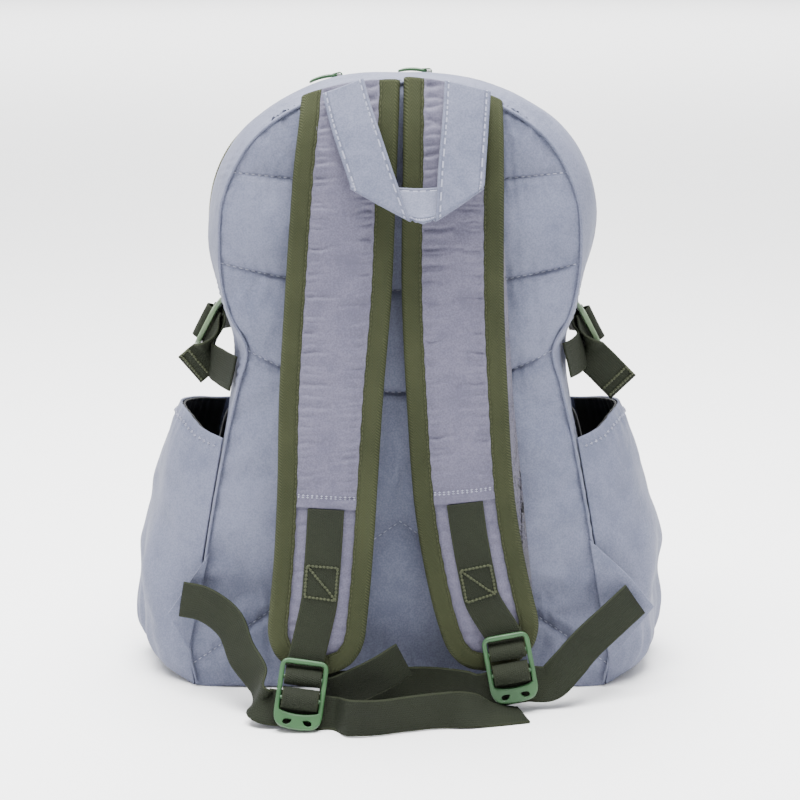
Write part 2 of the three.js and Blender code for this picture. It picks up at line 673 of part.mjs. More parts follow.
// Place round the arch where its left side passes a height
function placeAtHeight(height) {
  let low = 0;
  let high = 0.5;
  for (let turn = 0; turn < ARCH_SEARCH_TURNS; turn += 1) {
    const middle = (low + high) / 2;
    if (seamCurve.getPoint(middle).z < height) {
      low = middle;
    } else {
      high = middle;
    }
  }
  return (low + high) / 2;
}

// Grid of a panel that fills the arch; outward(share, pad) gives its y
function panelGrid(rows, drop, face) {
  return rows.map((row, rowNumber) => {
    const sideHeight = BASE_TOP + row.side * (BAG_HEIGHT - BASE_TOP);
    const place = placeAtHeight(sideHeight);
    const edge = gussetPoint(place, 0, 0, drop);
    const middleHeight = BASE_TOP + row.middle * (BAG_HEIGHT - BASE_TOP);
    const high = middleHeight / BAG_HEIGHT;
    const middle = middleHeight - drop * BAG_HEIGHT * high * high;
    const line = [];
    for (let column = 0; column <= PANEL_COLUMNS; column += 1) {
      const share = (2 * column) / PANEL_COLUMNS - 1;
      const eased = Math.sign(share) * (1 - (1 - Math.abs(share)) ** PANEL_CROWDING);
      const x = eased * Math.abs(edge.x);
      let z = middle + (edge.z - middle) * Math.abs(eased) ** (1 / row.bend);
      if (rowNumber === rows.length - 1) {
        z = archHeight(Math.abs(x), drop);
      }
      line.push(new THREE.Vector3(x, face(eased, row.pad), z));
    }
    return line;
  });
}

function backPanel() {
  const outer = panelGrid(QUILT_ROWS, 0, (share, pad) => {
    const edgeFade = 1 - Math.abs(share) ** PANEL_RIM_POWER;
    const padding = PANEL_PAD * pad * Math.max(edgeFade, PANEL_RIM_PAD);
    return PANEL_FACE - PANEL_BACKING * PANEL_BACKING_OUTSIDE - padding;
  });
  const inner = panelGrid(QUILT_ROWS, 0, () => PANEL_FACE + PANEL_BACKING * (1 - PANEL_BACKING_OUTSIDE));
  return sheetSolid(outer, inner);
}

function frontPanel() {
  const crown = QUILT_ROWS.at(-1);
  const rows = QUILT_ROWS.filter((row, number) => number % FRONT_ROW_STEP === 0 || row === crown);
  const y = BACK_Y + BAG_DEPTH;
  const rise = (share, up) => {
    const across = 1 - Math.abs(share) ** FRONT_SIDE_POWER;
    return FRONT_PUFF * across * Math.sin(Math.PI * up) ** FRONT_RISE_POWER;
  };
  const layer = (offset) =>
    rows.map((row, number) => {
      const up = number / (rows.length - 1);
      const grid = panelGrid([row, crown], FRONT_DROP, (share) => y + offset + rise(share, up));
      return row === crown ? grid[1] : grid[0];
    });
  return sheetSolid(layer(0), layer(FRONT_WALL));
}

function basePanel() {
  const half = BASE_LEDGE - seamCurve.getPoint(0).x;
  const back = PANEL_FACE - PANEL_BACKING;
  const front = BACK_Y + BAG_DEPTH + FRONT_WALL;
  const round = BASE_CORNER;
  const outline = new THREE.Shape();
  outline.moveTo(-half + round, back);
  outline.lineTo(half - round, back);
  outline.quadraticCurveTo(half, back, half, back + round);
  outline.lineTo(half, front - round);
  outline.quadraticCurveTo(half, front, half - round, front);
  outline.lineTo(-half + round, front);
  outline.quadraticCurveTo(-half, front, -half, front - round);
  outline.lineTo(-half, back + round);
  outline.quadraticCurveTo(-half, back, -half + round, back);
  return new THREE.ExtrudeGeometry(outline, {
    depth: BASE_THICKNESS,
    bevelEnabled: false,
    curveSegments: BASE_CORNER_STEPS,
  });
}

// Where the zip runs at a place round the arch, along it and outwards
function zipFrame(place) {
  const deep = ZIP_MIDDLE;
  const drop = (BACK_RINGS.at(-1).drop + FRONT_RINGS[0].drop) / 2;
  const point = gussetPoint(place, deep, 1, drop);
  const ahead = gussetPoint(place + ZIP_REACH, deep, 1, drop);
  const behind = gussetPoint(place - ZIP_REACH, deep, 1, drop);
  const along = ahead.sub(behind).normalize();
  const out = new THREE.Vector3(-along.z, 0, along.x).normalize();
  return { point, along, out };
}

// Zip tape with its ridge of teeth, in the slot of the gusset
function zipTape() {
  const first = ZIP_FIRST + ZIP_END;
  const width = ZIP_SLOT - 2 * SEAM_GAP;
  const layer = (below) =>
    ZIP_PROFILE.map((row) => {
      const line = [];
      for (let step = 0; step <= ZIP_STEPS; step += 1) {
        const frame = zipFrame(first + ((1 - 2 * first) * step) / ZIP_STEPS);
        const rise = row.out * ZIP_TEETH_HEIGHT - ZIP_RECESS;
        const y = frame.point.y + row.across * width;
        const lift = below ? -ZIP_RECESS - ZIP_TAPE : rise;
        line.push(frame.point.clone().addScaledVector(frame.out, lift).setY(y));
      }
      return line;
    });
  return sheetSolid(layer(false), layer(true));
}

// Basis matrix from three axes and an origin
function basis(x, y, z, origin) {
  return new THREE.Matrix4().makeBasis(x, y, z).setPosition(origin);
}

// A slider on the teeth: plate, two posts and the bail pin. In its own frame x runs
// along the zip, y across it and z outwards.
function sliderGeometry() {
  const edge = (sign) =>
    SLIDER_PLAN.map((row) => new THREE.Vector2(row.along * SLIDER_LENGTH, sign * row.aside * SLIDER_WIDTH));
  const plate = new THREE.Shape([...edge(-1), ...edge(1).reverse()]);
  const body = new THREE.ExtrudeGeometry(plate, { depth: SLIDER_PLATE, bevelEnabled: false });
  const pieces = [body];
  const postPlace = PULL_EYE_WIDTH / 2 + HINGE_GAP + BAIL_POST / 2;
  const postHeight = BAIL_PIN_HEIGHT + BAIL_PIN_RADIUS + BAIL_POST_CAP;
  for (const side of [-1, 1]) {
    const post = new THREE.BoxGeometry(BAIL_POST_LENGTH, BAIL_POST, postHeight);
    post.translate(0, side * postPlace, SLIDER_PLATE - BAIL_POST_SINK + postHeight / 2);
    pieces.push(post);
  }
  const pin = new THREE.CylinderGeometry(BAIL_PIN_RADIUS, BAIL_PIN_RADIUS, 2 * postPlace, BAIL_PIN_SIDES);
  pin.translate(0, 0, SLIDER_PLATE + BAIL_PIN_HEIGHT);
  pieces.push(pin);
  return joined(pieces);
}

// The pull tab, pointing along -x from its eye; origin on the bail pin
function pullGeometry() {
  const eye = PULL_EYE;
  const side = new THREE.Shape();
  side.absarc(0, 0, eye, -Math.PI / 2, Math.PI / 2, false);
  side.lineTo(-eye * PULL_NECK, eye * 0.8);
  side.lineTo(-eye * PULL_NECK, -eye * 0.5);
  side.closePath();
  const bore = new THREE.Path();
  bore.absarc(0, 0, PULL_BORE, 0, Math.PI * 2, true);
  side.holes.push(bore);
  const neck = new THREE.ExtrudeGeometry(side, {
    depth: PULL_EYE_WIDTH,
    bevelEnabled: false,
    curveSegments: PULL_EYE_STEPS,
  });
  neck.rotateX(Math.PI / 2);
  neck.translate(0, PULL_EYE_WIDTH / 2, 0);
  const layer = (sign) =>
    PULL_ROWS.map((row) =>
      PULL_CROWN.map((spot) => {
        const deep = (PULL_THICKNESS / 2) * row.thick * spot.high;
        const aside = (PULL_WIDTH / 2) * row.wide * spot.across;
        return new THREE.Vector3(-PULL_LENGTH * row.along, aside, row.rise + sign * deep);
      }),
    );
  return joined([neck, sheetSolid(layer(1), layer(-1))]);
}

// Side pocket: rows of points from the rim down, laid outside the gusset
function pocketGrid(side, rows) {
  return rows.map((row) =>
    POCKET_PLAN.map((station) => {
      const rimShape = smooth(row.up, 0.45, 1);
      const up = row.up + station.lift * rimShape;
      const height = Math.max(up * POCKET_HEIGHT, POCKET_FLOOR);
      const place = placeAtHeight(Math.max(height, BASE_TOP));
      const skin = gussetPoint(place, station.along, 1, 0);
      const slack = smooth(1 - row.up, 0.1, 0.7) * station.out;
      const fold = Math.cos(station.along * POCKET_FOLD_WAVE) * POCKET_FOLD * slack;
      const reach = SKIN_GAP + (POCKET_BULGE * row.out - fold) * station.out;
      return new THREE.Vector3(side * (Math.abs(skin.x) + reach), skin.y, height);
    }),
  );
}

function pocketWall(side) {
  const grid = pocketGrid(side, POCKET_ROWS);
  return orderedWall(grid, side, POCKET_WALL);
}

// Wall that grows towards the inside of a pocket on either side
function orderedWall(grid, side, thickness) {
  return wallSolid(grid, side < 0 ? thickness : -thickness);
}

// Dark lining inside the pocket's mouth, a little below its rim
function pocketLining(side) {
  const grid = pocketGrid(side, POCKET_ROWS);
  const inward = side < 0 ? 1 : -1;
  const inset = inward * (POCKET_WALL + SKIN_GAP);
  const normals = gridNormals(grid);
  const moved = grid.map((line, row) =>
    line.map((point, column) => point.clone().addScaledVector(normals[row][column], inset)),
  );
  const inner = moved.slice(0, LINING_ROWS).map((line) => line.slice(1, -1));
  inner[0].forEach((point) => {
    point.z -= RIM_HEM;
  });
  return orderedWall(inner, side, POCKET_LINING);
}

// Place of a row of a route in the bag's space
function routePoint(row) {
  const z = 'rise' in row ? row.rise * WEBBING_WIDTH : row.z * BAG_HEIGHT;
  return new THREE.Vector3(row.x * HALF_WIDTH, BACK_Y - row.stand * BAG_DEPTH, z);
}

// Flat strip along a list of points, each with its direction across
function ribbon(points, acrosses, width, thickness, steps, columns = 1) {
  const spine = new THREE.CatmullRomCurve3(points, false, 'centripetal');
  const turns = new THREE.CatmullRomCurve3(acrosses, false, 'catmullrom', 0.4);
  const front = [];
  const back = [];
  for (let step = 0; step <= steps; step += 1) {
    const t = step / steps;
    const centre = spine.getPoint(t);
    const along = spine.getTangent(t);
    const across = turns.getPoint(t);
    across.addScaledVector(along, -across.dot(along)).normalize();
    const normal = along.clone().cross(across).normalize();
    const line = (offset) => {
      const made = [];
      for (let column = 0; column <= columns; column += 1) {
        const share = column / columns - 0.5;
        const point = centre.clone().addScaledVector(across, share * width).addScaledVector(normal, offset);
        point.z = Math.max(point.z, FLOOR_GAP);
        made.push(point);
      }
      return made;
    };
    front.push(line(thickness / 2));
    back.push(line(-thickness / 2));
  }
  return sheetSolid(front, back);
}

// Strip along a route, whose rows with aside, down and out lie in a buckle's frame
function routeRibbon(rows, width, thickness, steps, frame, columns = 1) {
  const inBuckle = (row) =>
    inFrame(frame, (row.aside ?? 0) * BUCKLE_LENGTH, row.down * BUCKLE_LENGTH, row.out * BUCKLE_LENGTH);
  const points = rows.map((row) => ('out' in row ? inBuckle(row) : routePoint(row)));
  const acrosses = rows.map((row) => {
    if ('level' in row) {
      return frame.across.clone().multiplyScalar(row.level);
    }
    return 'aside' in row ? frame.down.clone().negate() : new THREE.Vector3(row.ax, row.ay, row.az);
  });
  return ribbon(points, acrosses, width, thickness, steps, columns);
}

// Local frame along a shoulder strap
function strapFrames(side) {
  const rows = STRAP_ROUTES[side];
  const spine = new THREE.CatmullRomCurve3(rows.map(routePoint), false, 'centripetal');
  const widths = new THREE.CatmullRomCurve3(
    rows.map((row) => new THREE.Vector3(row.wide, 0, 0)),
    false,
    'centripetal',
  );
  const length = spine.getLength();
  return {
    length,
    at(distance) {
      const share = Math.min(Math.max(distance / length, 0), 1);
      const t = spine.getUtoTmapping(share);
      const centre = spine.getPoint(t);
      const along = spine.getTangent(t);
      const across = new THREE.Vector3(1, 0, 0);
      across.addScaledVector(along, -across.dot(along)).normalize();
      const out = along.clone().cross(across).normalize();
      if (out.y > 0) {
        out.negate();
      }
      const fromEnd = length - distance;
      const tight = fromEnd < STRAP_END_ROUND ? (STRAP_END_ROUND - fromEnd) / STRAP_END_ROUND : 0;
      const round = (1 - tight ** STRAP_END_POWER) ** (1 / STRAP_END_POWER);
      const half = (STRAP_WIDTH / 2) * widths.getPoint(t).x * Math.max(round, STRAP_END_NARROW);
      return { centre, along, across, out, half };
    },
    place(frame, sideways, outwards) {
      const beside = frame.centre.clone().addScaledVector(frame.across, sideways);
      return beside.addScaledVector(frame.out, outwards);
    },
  };
}

function strapStations(length) {
  const stations = [];
  const straight = length - STRAP_END_ROUND;
  for (let row = 0; row <= STRAP_ROWS; row += 1) {
    stations.push((straight * row) / STRAP_ROWS);
  }
  for (const share of STRAP_END_ROWS) {
    stations.push(straight + share * STRAP_END_ROUND);
  }
  return stations;
}

// Half thickness of the pad: flat under the binding, full between the bindings
function padHeight(fromEdge, distance) {
  if (fromEdge < BINDING_WALL) {
    return STRAP_EDGE * PAD_EDGE_SHARE;
  }
  const inFromBinding = smooth(fromEdge, BINDING_WIDTH, BINDING_WIDTH + PAD_SHOULDER);
  const rooted = smooth(distance, PAD_ROOT_FLAT, PAD_ROOT_FULL);
  return STRAP_EDGE / 2 + STRAP_PUFF * inFromBinding * rooted;
}

function strapPad(side) {
  const frames = strapFrames(side);
  const layer = (sign) =>
    strapStations(frames.length).map((distance) => {
      const frame = frames.at(distance);
      return STRAP_COLUMNS.map((share) => {
        const fromSide = frame.half * (1 - Math.abs(share));
        const fromEdge = Math.min(fromSide, frames.length - distance);
        return frames.place(frame, share * frame.half, sign * padHeight(fromEdge, distance));
      });
    });
  return sheetSolid(layer(1), layer(-1));
}

// Binding folded over the edge of the pad, down one side, round the end and up again
function strapBinding(side) {
  const frames = strapFrames(side);
  const stations = strapStations(frames.length);
  const path = [
    ...stations.map((distance) => ({ distance, sign: -1 })),
    ...stations.map((distance) => ({ distance, sign: 1 })).reverse(),
  ];
  const tallAt = (distance) => {
    const ending = smooth(distance, frames.length - 2 * STRAP_END_ROUND, frames.length - STRAP_END_ROUND);
    return STRAP_EDGE / 2 + SEAM_GAP + STRAP_END_EASE * ending;
  };
  const edge = path.map(({ distance, sign }) => {
    const frame = frames.at(distance);
    return { frame, point: frames.place(frame, sign * frame.half, 0), tall: tallAt(distance) };
  });
  const section = (wall, tall) => [
    [BINDING_WIDTH, tall + wall],
    [BINDING_WALL, tall + wall],
    [-SEAM_GAP - wall, tall * BINDING_FLANK],
    [-SEAM_GAP - wall, -tall * BINDING_FLANK],
    [BINDING_WALL, -tall - wall],
    [BINDING_WIDTH, -tall - wall],
  ];
  const middle = frames.at(frames.length - STRAP_END_ROUND).centre;
  const layer = (wall) =>
    edge.map(({ frame, point, tall }, number) => {
      const before = edge[Math.max(number - 1, 0)].point;
      const after = edge[Math.min(number + 1, edge.length - 1)].point;
      const along = after.clone().sub(before).normalize();
      const inward = frame.out.clone().cross(along).normalize();
      const towardsMiddle = number < stations.length ? 1 : -1;
      const rounding = number > 0 && number < edge.length - 1 && Math.abs(inward.dot(frame.across)) < 0.5;
      const sideways = frame.across.clone().multiplyScalar(towardsMiddle);
      const reference = rounding ? middle.clone().sub(point) : sideways;
      if (inward.dot(reference) < 0) {
        inward.negate();
      }
      return section(wall, tall).map(([deep, high]) =>
        point.clone().addScaledVector(inward, deep).addScaledVector(frame.out, high),
      );
    });
  return sheetSolid(layer(BINDING_WALL), layer(0));
}

// Cover cloth on the upper stretch of the strap, ending in a hem
function strapCover(side) {
  const frames = strapFrames(side);
  const hem = frames.length * STRAP_HEM[side];
  const layer = (wall) => {
    const grid = [];
    for (let row = 0; row <= COVER_ROWS; row += 1) {
      const distance = (hem * row) / COVER_ROWS;
      const frame = frames.at(distance);
      const half = frame.half - BINDING_WIDTH - SEAM_GAP * 2;
      grid.push(
        COVER_COLUMNS.map((share) => {
          const fromEdge = frame.half - Math.abs(share) * half;
          const high = padHeight(fromEdge, distance) + SKIN_GAP + wall;
          return frames.place(frame, share * half, high);
        }),
      );
    }
    return grid;
  };
  return sheetSolid(layer(COVER_WALL), layer(0));
}

// Frame of a ladder buckle: across, down and outward axes and its middle
function buckleFrame(place) {
  const down = new THREE.Vector3(...place.down).normalize();
  const across = new THREE.Vector3(...place.across);
  across.addScaledVector(down, -across.dot(down)).normalize();
  const out = down.clone().cross(across).normalize();
  return { across, down, out, middle: place.middle };
}

function inFrame(frame, across, down, out) {
  return frame.middle
    .clone()
    .addScaledVector(frame.across, across)
    .addScaledVector(frame.down, down)
    .addScaledVector(frame.out, out);
}

function buckleGeometry() {
  const half = BUCKLE_WIDTH / 2;
  const top = BUCKLE_LENGTH / 2;
  const corner = BUCKLE_CORNER;
  const outline = new THREE.Shape();
  outline.moveTo(-half + corner, top);
  outline.quadraticCurveTo(-half, top, -half, top - corner);
  outline.lineTo(-half, -top + corner * 1.7);
  outline.quadraticCurveTo(-half, -top + 1, -half + corner * 1.3, -top + 0.4);
  outline.quadraticCurveTo(0, -top - 0.6, half - corner * 1.3, -top + 0.4);
  outline.quadraticCurveTo(half, -top + 1, half, -top + corner * 1.7);
  outline.lineTo(half, top - corner);
  outline.quadraticCurveTo(half, top, half - corner, top);
  outline.closePath();
  const inner = half - BUCKLE_RAIL;
  const low = -top + BUCKLE_PLATE;
  const window = new THREE.Path();
  window.moveTo(-inner, top - BUCKLE_RAIL - 2);
  window.lineTo(-inner, low + 1);
  window.quadraticCurveTo(0, low - 3, inner, low + 1);
  window.lineTo(inner, top - BUCKLE_RAIL - 2);
  window.quadraticCurveTo(inner, top - BUCKLE_RAIL, inner - 2, top - BUCKLE_RAIL);
  window.lineTo(-inner + 2, top - BUCKLE_RAIL);
  window.quadraticCurveTo(-inner, top - BUCKLE_RAIL, -inner, top - BUCKLE_RAIL - 2);
  outline.holes.push(window);
  for (const side of [-1, 1]) {
    const hole = new THREE.Path();
    const x = side * half * 0.42;
    const y = -top + BUCKLE_PLATE * 0.42;
    hole.moveTo(x - side * BUCKLE_HOLE * 0.8, y + BUCKLE_HOLE * 0.35);
    hole.quadraticCurveTo(x, y + BUCKLE_HOLE * 0.5, x + side * BUCKLE_HOLE * 0.6, y + BUCKLE_HOLE * 0.3);
    hole.quadraticCurveTo(x + side * BUCKLE_HOLE * 0.8, y - BUCKLE_HOLE * 0.4, x, y - BUCKLE_HOLE * 0.5);
    hole.closePath();
    outline.holes.push(hole);
  }
  const frame = new THREE.ExtrudeGeometry(outline, {
    depth: BUCKLE_THICKNESS,
    bevelEnabled: false,
    curveSegments: 2,
  });
  frame.translate(0, 0, -BUCKLE_THICKNESS * 0.4);
  const bars = Object.entries(BAR_PLACES).map(([kind, down]) => {
    const bar = new THREE.CylinderGeometry(BAR_RADIUS, BAR_RADIUS, BUCKLE_WIDTH - BUCKLE_RAIL, BAR_SIDES);
    bar.rotateZ(Math.PI / 2);
    bar.translate(0, -down, kind === 'grip' ? GRIP_BAR_RISE : LOOP_BAR_RISE);
    return bar;
  });
  return joined([frame, ...bars]);
}

function placedBuckle(frame) {
  const up = frame.down.clone().negate();
  return buckleGeometry().applyMatrix4(basis(frame.across, up, frame.out, frame.middle));
}

function localRibbon(frame, rows, steps) {
  const points = rows.map((row) => inFrame(frame, 0, row.down * BUCKLE_LENGTH, row.out * BUCKLE_LENGTH));
  const acrosses = rows.map(() => frame.across.clone());
  return ribbon(points, acrosses, WEBBING_WIDTH, WEBBING, steps);
}

// Webbing sewn on the strap: from the hem over the pad to the buckle's fixed bar
function strapWebbing(side, frame) {
  const frames = strapFrames(side);
  const hem = frames.length * STRAP_HEM[side] + SEAM_GAP;
  const last = frames.length * STRAP_WEBBING_END;
  const high = STRAP_EDGE / 2 + STRAP_PUFF + SEAM_GAP * 2 + WEBBING / 2;
  const points = [];
  const acrosses = [];
  const rows = 5;
  for (let row = 0; row <= rows; row += 1) {
    const station = frames.at(hem + ((last - hem) * row) / rows);
    points.push(frames.place(station, 0, high));
    acrosses.push(station.across);
  }
  for (const row of FIXED_LOOP_ROWS) {
    points.push(inFrame(frame, 0, row.down * BUCKLE_LENGTH, row.out * BUCKLE_LENGTH));
    acrosses.push(frame.across.clone());
  }
  return ribbon(points, acrosses, WEBBING_WIDTH, WEBBING, WEBBING_STEPS.sewn);
}

function adjusterWebbing(side, frame) {
  return joined([
    routeRibbon(ADJUSTER_ROUTES[side], WEBBING_WIDTH, WEBBING, WEBBING_STEPS.adjuster, frame),
    localRibbon(frame, ROLL_ROWS, WEBBING_STEPS.roll),
    routeRibbon(TAIL_ROUTES[side], WEBBING_WIDTH, WEBBING, WEBBING_STEPS.tail[side], frame),
  ]);
}

function sideWebbing(side, frame) {
  return joined([
    routeRibbon(SIDE_ROUTES[side], WEBBING_WIDTH, WEBBING, WEBBING_STEPS.side, frame),
    localRibbon(frame, ROLL_ROWS, WEBBING_STEPS.roll),
    routeRibbon(SIDE_TAILS[side], WEBBING_WIDTH, WEBBING, WEBBING_STEPS.side, frame),
  ]);
}

function sideAnchor(side, frame) {
  const level = side === 'left' ? 1 : -1;
  const loop = FIXED_LOOP_ROWS.map((row) => ({ level, ...row }));
  return routeRibbon([...SIDE_ANCHORS[side], ...loop], WEBBING_WIDTH, WEBBING, WEBBING_STEPS.anchor, frame);
}

function tabWing(side) {
  const [upper, lower, tipLow, tipHigh] = TAB_CORNERS[side];
  const at = (corner, y) => new THREE.Vector3(corner.x * HALF_WIDTH, y, corner.z * WEBBING_WIDTH);
  const face = PANEL_FACE - PANEL_BACKING;
  const layer = (offset) => {
    const grid = [];
    for (let row = 0; row <= TAB_ROWS; row += 1) {
      const share = row / TAB_ROWS;
      const y = face - offset - share * TAB_SPREAD;
      const high = at(upper, y).lerp(at(tipHigh, y), share);
      const low = at(lower, y).lerp(at(tipLow, y), share);
      grid.push([high, high.clone().lerp(low, 0.5), low]);
    }
    return grid;
  };
  return sheetSolid(layer(TAB_THICKNESS), layer(0));
}

// Assembly
const bag = new THREE.Group();

function addPiece(name, geometry, finish, matrix) {
  const mesh = new THREE.Mesh(geometry, new THREE.MeshStandardMaterial(finish));
  mesh.name = name;
  if (matrix) {
    mesh.applyMatrix4(matrix);
  }
  bag.add(mesh);
  return mesh;
}

addPiece('back_panel', backPanel(), NYLON);
addPiece('back_gusset', wallSolid(ringGrid(BACK_RINGS, BACK_RINGS.length - 1, -1), GUSSET_WALL), NYLON);
addPiece('front_gusset', wallSolid(ringGrid(FRONT_RINGS, 0, 1), GUSSET_WALL), NYLON);
addPiece('front_panel', frontPanel(), NYLON);
addPiece('base_panel', basePanel(), NYLON);
addPiece('main_zip', zipTape(), ZIP_TAPE_CLOTH);

for (const { name, place } of SLIDERS) {
  const frame = zipFrame(place);
  const seat = frame.point.clone().addScaledVector(frame.out, ZIP_TEETH_HEIGHT - ZIP_RECESS + SEAM_GAP);
  const y = new THREE.Vector3().crossVectors(frame.out, frame.along);
  const matrix = basis(frame.along, y, frame.out, seat);
  addPiece(`zip_slider_${name}`, sliderGeometry(), SLIDER_METAL, matrix);
  const pin = seat.clone().addScaledVector(frame.out, SLIDER_PLATE + BAIL_PIN_HEIGHT);
  addPiece(`zip_pull_${name}`, pullGeometry(), GREEN_PLASTIC, basis(frame.along, y, frame.out, pin));
}

for (const [side, sign] of [['left', -1], ['right', 1]]) {
  const place = BUCKLES[side];
  const frame = buckleFrame({ ...place, middle: routePoint(place) });
  addPiece(`side_pocket_${side}`, pocketWall(sign), NYLON);
  addPiece(`pocket_lining_${side}`, pocketLining(sign), BLACK_LINING);
  addPiece(`strap_pad_${side}`, strapPad(side), STRAP_NYLON);
  addPiece(`strap_cover_${side}`, strapCover(side), STRAP_NYLON);
  addPiece(`strap_binding_${side}`, strapBinding(side), OLIVE_BINDING);
  addPiece(`strap_webbing_${side}`, strapWebbing(side, frame), OLIVE_WEBBING);
  addPiece(`ladder_buckle_${side}`, placedBuckle(frame), GREEN_PLASTIC);
  addPiece(`adjuster_webbing_${side}`, adjusterWebbing(side, frame), OLIVE_WEBBING);
  addPiece(`webbing_tab_${side}`, tabWing(side), NYLON);
  const sidePlace = SIDE_BUCKLES[side];
  const sideFrame = buckleFrame({ ...sidePlace, middle: routePoint(sidePlace) });
  addPiece(`side_buckle_${side}`, placedBuckle(sideFrame), GREEN_PLASTIC);
  addPiece(`side_webbing_${side}`, sideWebbing(side, sideFrame), OLIVE_WEBBING);
  addPiece(`side_anchor_${side}`, sideAnchor(side, sideFrame), OLIVE_WEBBING);
}

const grabLoop = routeRibbon(LOOP_ROUTE, LOOP_STRIP_WIDTH, LOOP_STRIP, WEBBING_STEPS.grabLoop, null, 2);
addPiece('grab_loop', grabLoop, NYLON);

// Origin on the floor, at the middle of everything that stands on it
const extent = new THREE.Box3().setFromObject(bag, true);
bag.position.x = -(extent.min.x + extent.max.x) / 2;
bag.position.y = -(extent.min.y + extent.max.y) / 2;

export default bag;
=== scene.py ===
"""Sports backpack on its base, dressed in cloth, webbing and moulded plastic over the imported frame."""
import logging
import math
from dataclasses import dataclass
from enum import Enum
from functools import lru_cache
from typing import Callable, Iterable, NamedTuple, Sequence

import bmesh
import bpy
from mathutils import Matrix, Vector, noise

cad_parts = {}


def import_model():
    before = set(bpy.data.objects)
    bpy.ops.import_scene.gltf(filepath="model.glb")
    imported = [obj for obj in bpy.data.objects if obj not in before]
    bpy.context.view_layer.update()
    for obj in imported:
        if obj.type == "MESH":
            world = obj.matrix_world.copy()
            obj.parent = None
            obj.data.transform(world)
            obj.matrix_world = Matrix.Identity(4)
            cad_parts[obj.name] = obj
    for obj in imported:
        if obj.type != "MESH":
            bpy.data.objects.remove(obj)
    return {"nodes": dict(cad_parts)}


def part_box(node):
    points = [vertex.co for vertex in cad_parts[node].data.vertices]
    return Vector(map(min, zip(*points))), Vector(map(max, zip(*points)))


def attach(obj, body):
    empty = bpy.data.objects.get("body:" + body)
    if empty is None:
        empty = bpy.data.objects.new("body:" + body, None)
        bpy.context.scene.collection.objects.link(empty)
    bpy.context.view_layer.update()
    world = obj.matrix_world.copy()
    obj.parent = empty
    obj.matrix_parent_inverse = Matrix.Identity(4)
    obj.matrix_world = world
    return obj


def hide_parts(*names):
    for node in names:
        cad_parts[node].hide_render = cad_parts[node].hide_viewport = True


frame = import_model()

LOG = logging.getLogger("backpack")
MM = 0.001
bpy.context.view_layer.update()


class Side(Enum):
    """The wearer-facing view's left or right."""

    LEFT = "left"
    RIGHT = "right"

    @property
    def sign(self) -> int:
        """-1 on the left, 1 on the right."""
        return -1 if self is Side.LEFT else 1


@dataclass(frozen=True)
class BagSizes:
    """Main sizes of the bag, in millimetres, with the harness face at back_y."""

    width: float = 275.0
    height: float = 436.0
    depth: float = 150.0
    base: float = 3.0
    seam_gap: float = 0.3
    backing: float = 3.0
    pad: float = 9.0
    gusset: float = 1.7
    zip_slot: float = 12.0
    zip_first: float = 0.15
    zip_fade: float = 0.035
    webbing_width: float = 25.0
    webbing: float = 1.5
    floor_gap: float = 0.4

    @property
    def half(self) -> float:
        """Half the width."""
        return self.width / 2

    @property
    def back_y(self) -> float:
        """Depth of the harness side."""
        return -self.depth * 0.467

    @property
    def face(self) -> float:
        """Depth of the back panel's seam plane."""
        return self.back_y - self.seam_gap

    @property
    def base_top(self) -> float:
        """Height where cloth begins above the base."""
        return self.base + self.seam_gap


BAG = BagSizes()
SHIFT_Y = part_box("base_panel")[0][1] / MM - (BAG.face - BAG.backing)


def world(point: Vector) -> Vector:
    """A point of the bag's own frame in millimetres, placed in the scene in metres."""
    return Vector((point.x * MM, (point.y + SHIFT_Y) * MM, point.z * MM))


def smooth(value: float, low: float, high: float) -> float:
    """Smoothstep of a value between two limits."""
    share = min(max((value - low) / (high - low), 0.0), 1.0)
    return share * share * (3 - 2 * share)


def mix(a: float, b: float, share: float) -> float:
    """A number between two others."""
    return a + (b - a) * share


def bell(value: float, centre: float, width: float) -> float:
    """A bump of height 1 at centre that dies away over the width."""
    return math.exp(-(((value - centre) / width) ** 2))


def crowded(across: float) -> float:
    """A place from -1 to 1, with the places close to either edge moved closer to it."""
    return math.copysign(1 - (1 - abs(across)) ** 1.15, across)


def ripple(along: float, wave: float, seed: float) -> float:
    """Uneven ripple from -1 to 1 along a seam.

    Args:
        along: distance along the seam, in millimetres.
        wave: mean distance between two puckers.
        seed: which ripple of many.

    Returns:
        The height of the ripple there.
    """
    drift = noise.noise(Vector((along / (wave * 3.1), seed * 7.7, 0.0)))
    return math.sin(2 * math.pi * along / wave + 5.0 * drift) * (0.55 + 0.9 * abs(drift))


def cloud(point: Vector, scale: float, seed: float = 0.0) -> float:
    """Smooth noise from about -1 to 1 at a place, with features about scale millimetres across."""
    return noise.noise(Vector((point.x / scale, point.y / scale, point.z / scale + seed * 13.7)))


def halve(low: float, high: float, below: Callable[[float], bool], steps: int = 30) -> float:
    """Find where a test stops holding.

    Args:
        low: a place where it holds.
        high: a place where it doesn't.
        below: the test.
        steps: how often the stretch is halved.

    Returns:
        The place.
    """
    for _ in range(steps):
        middle = (low + high) / 2
        if below(middle):
            low = middle
        else:
            high = middle
    return (low + high) / 2


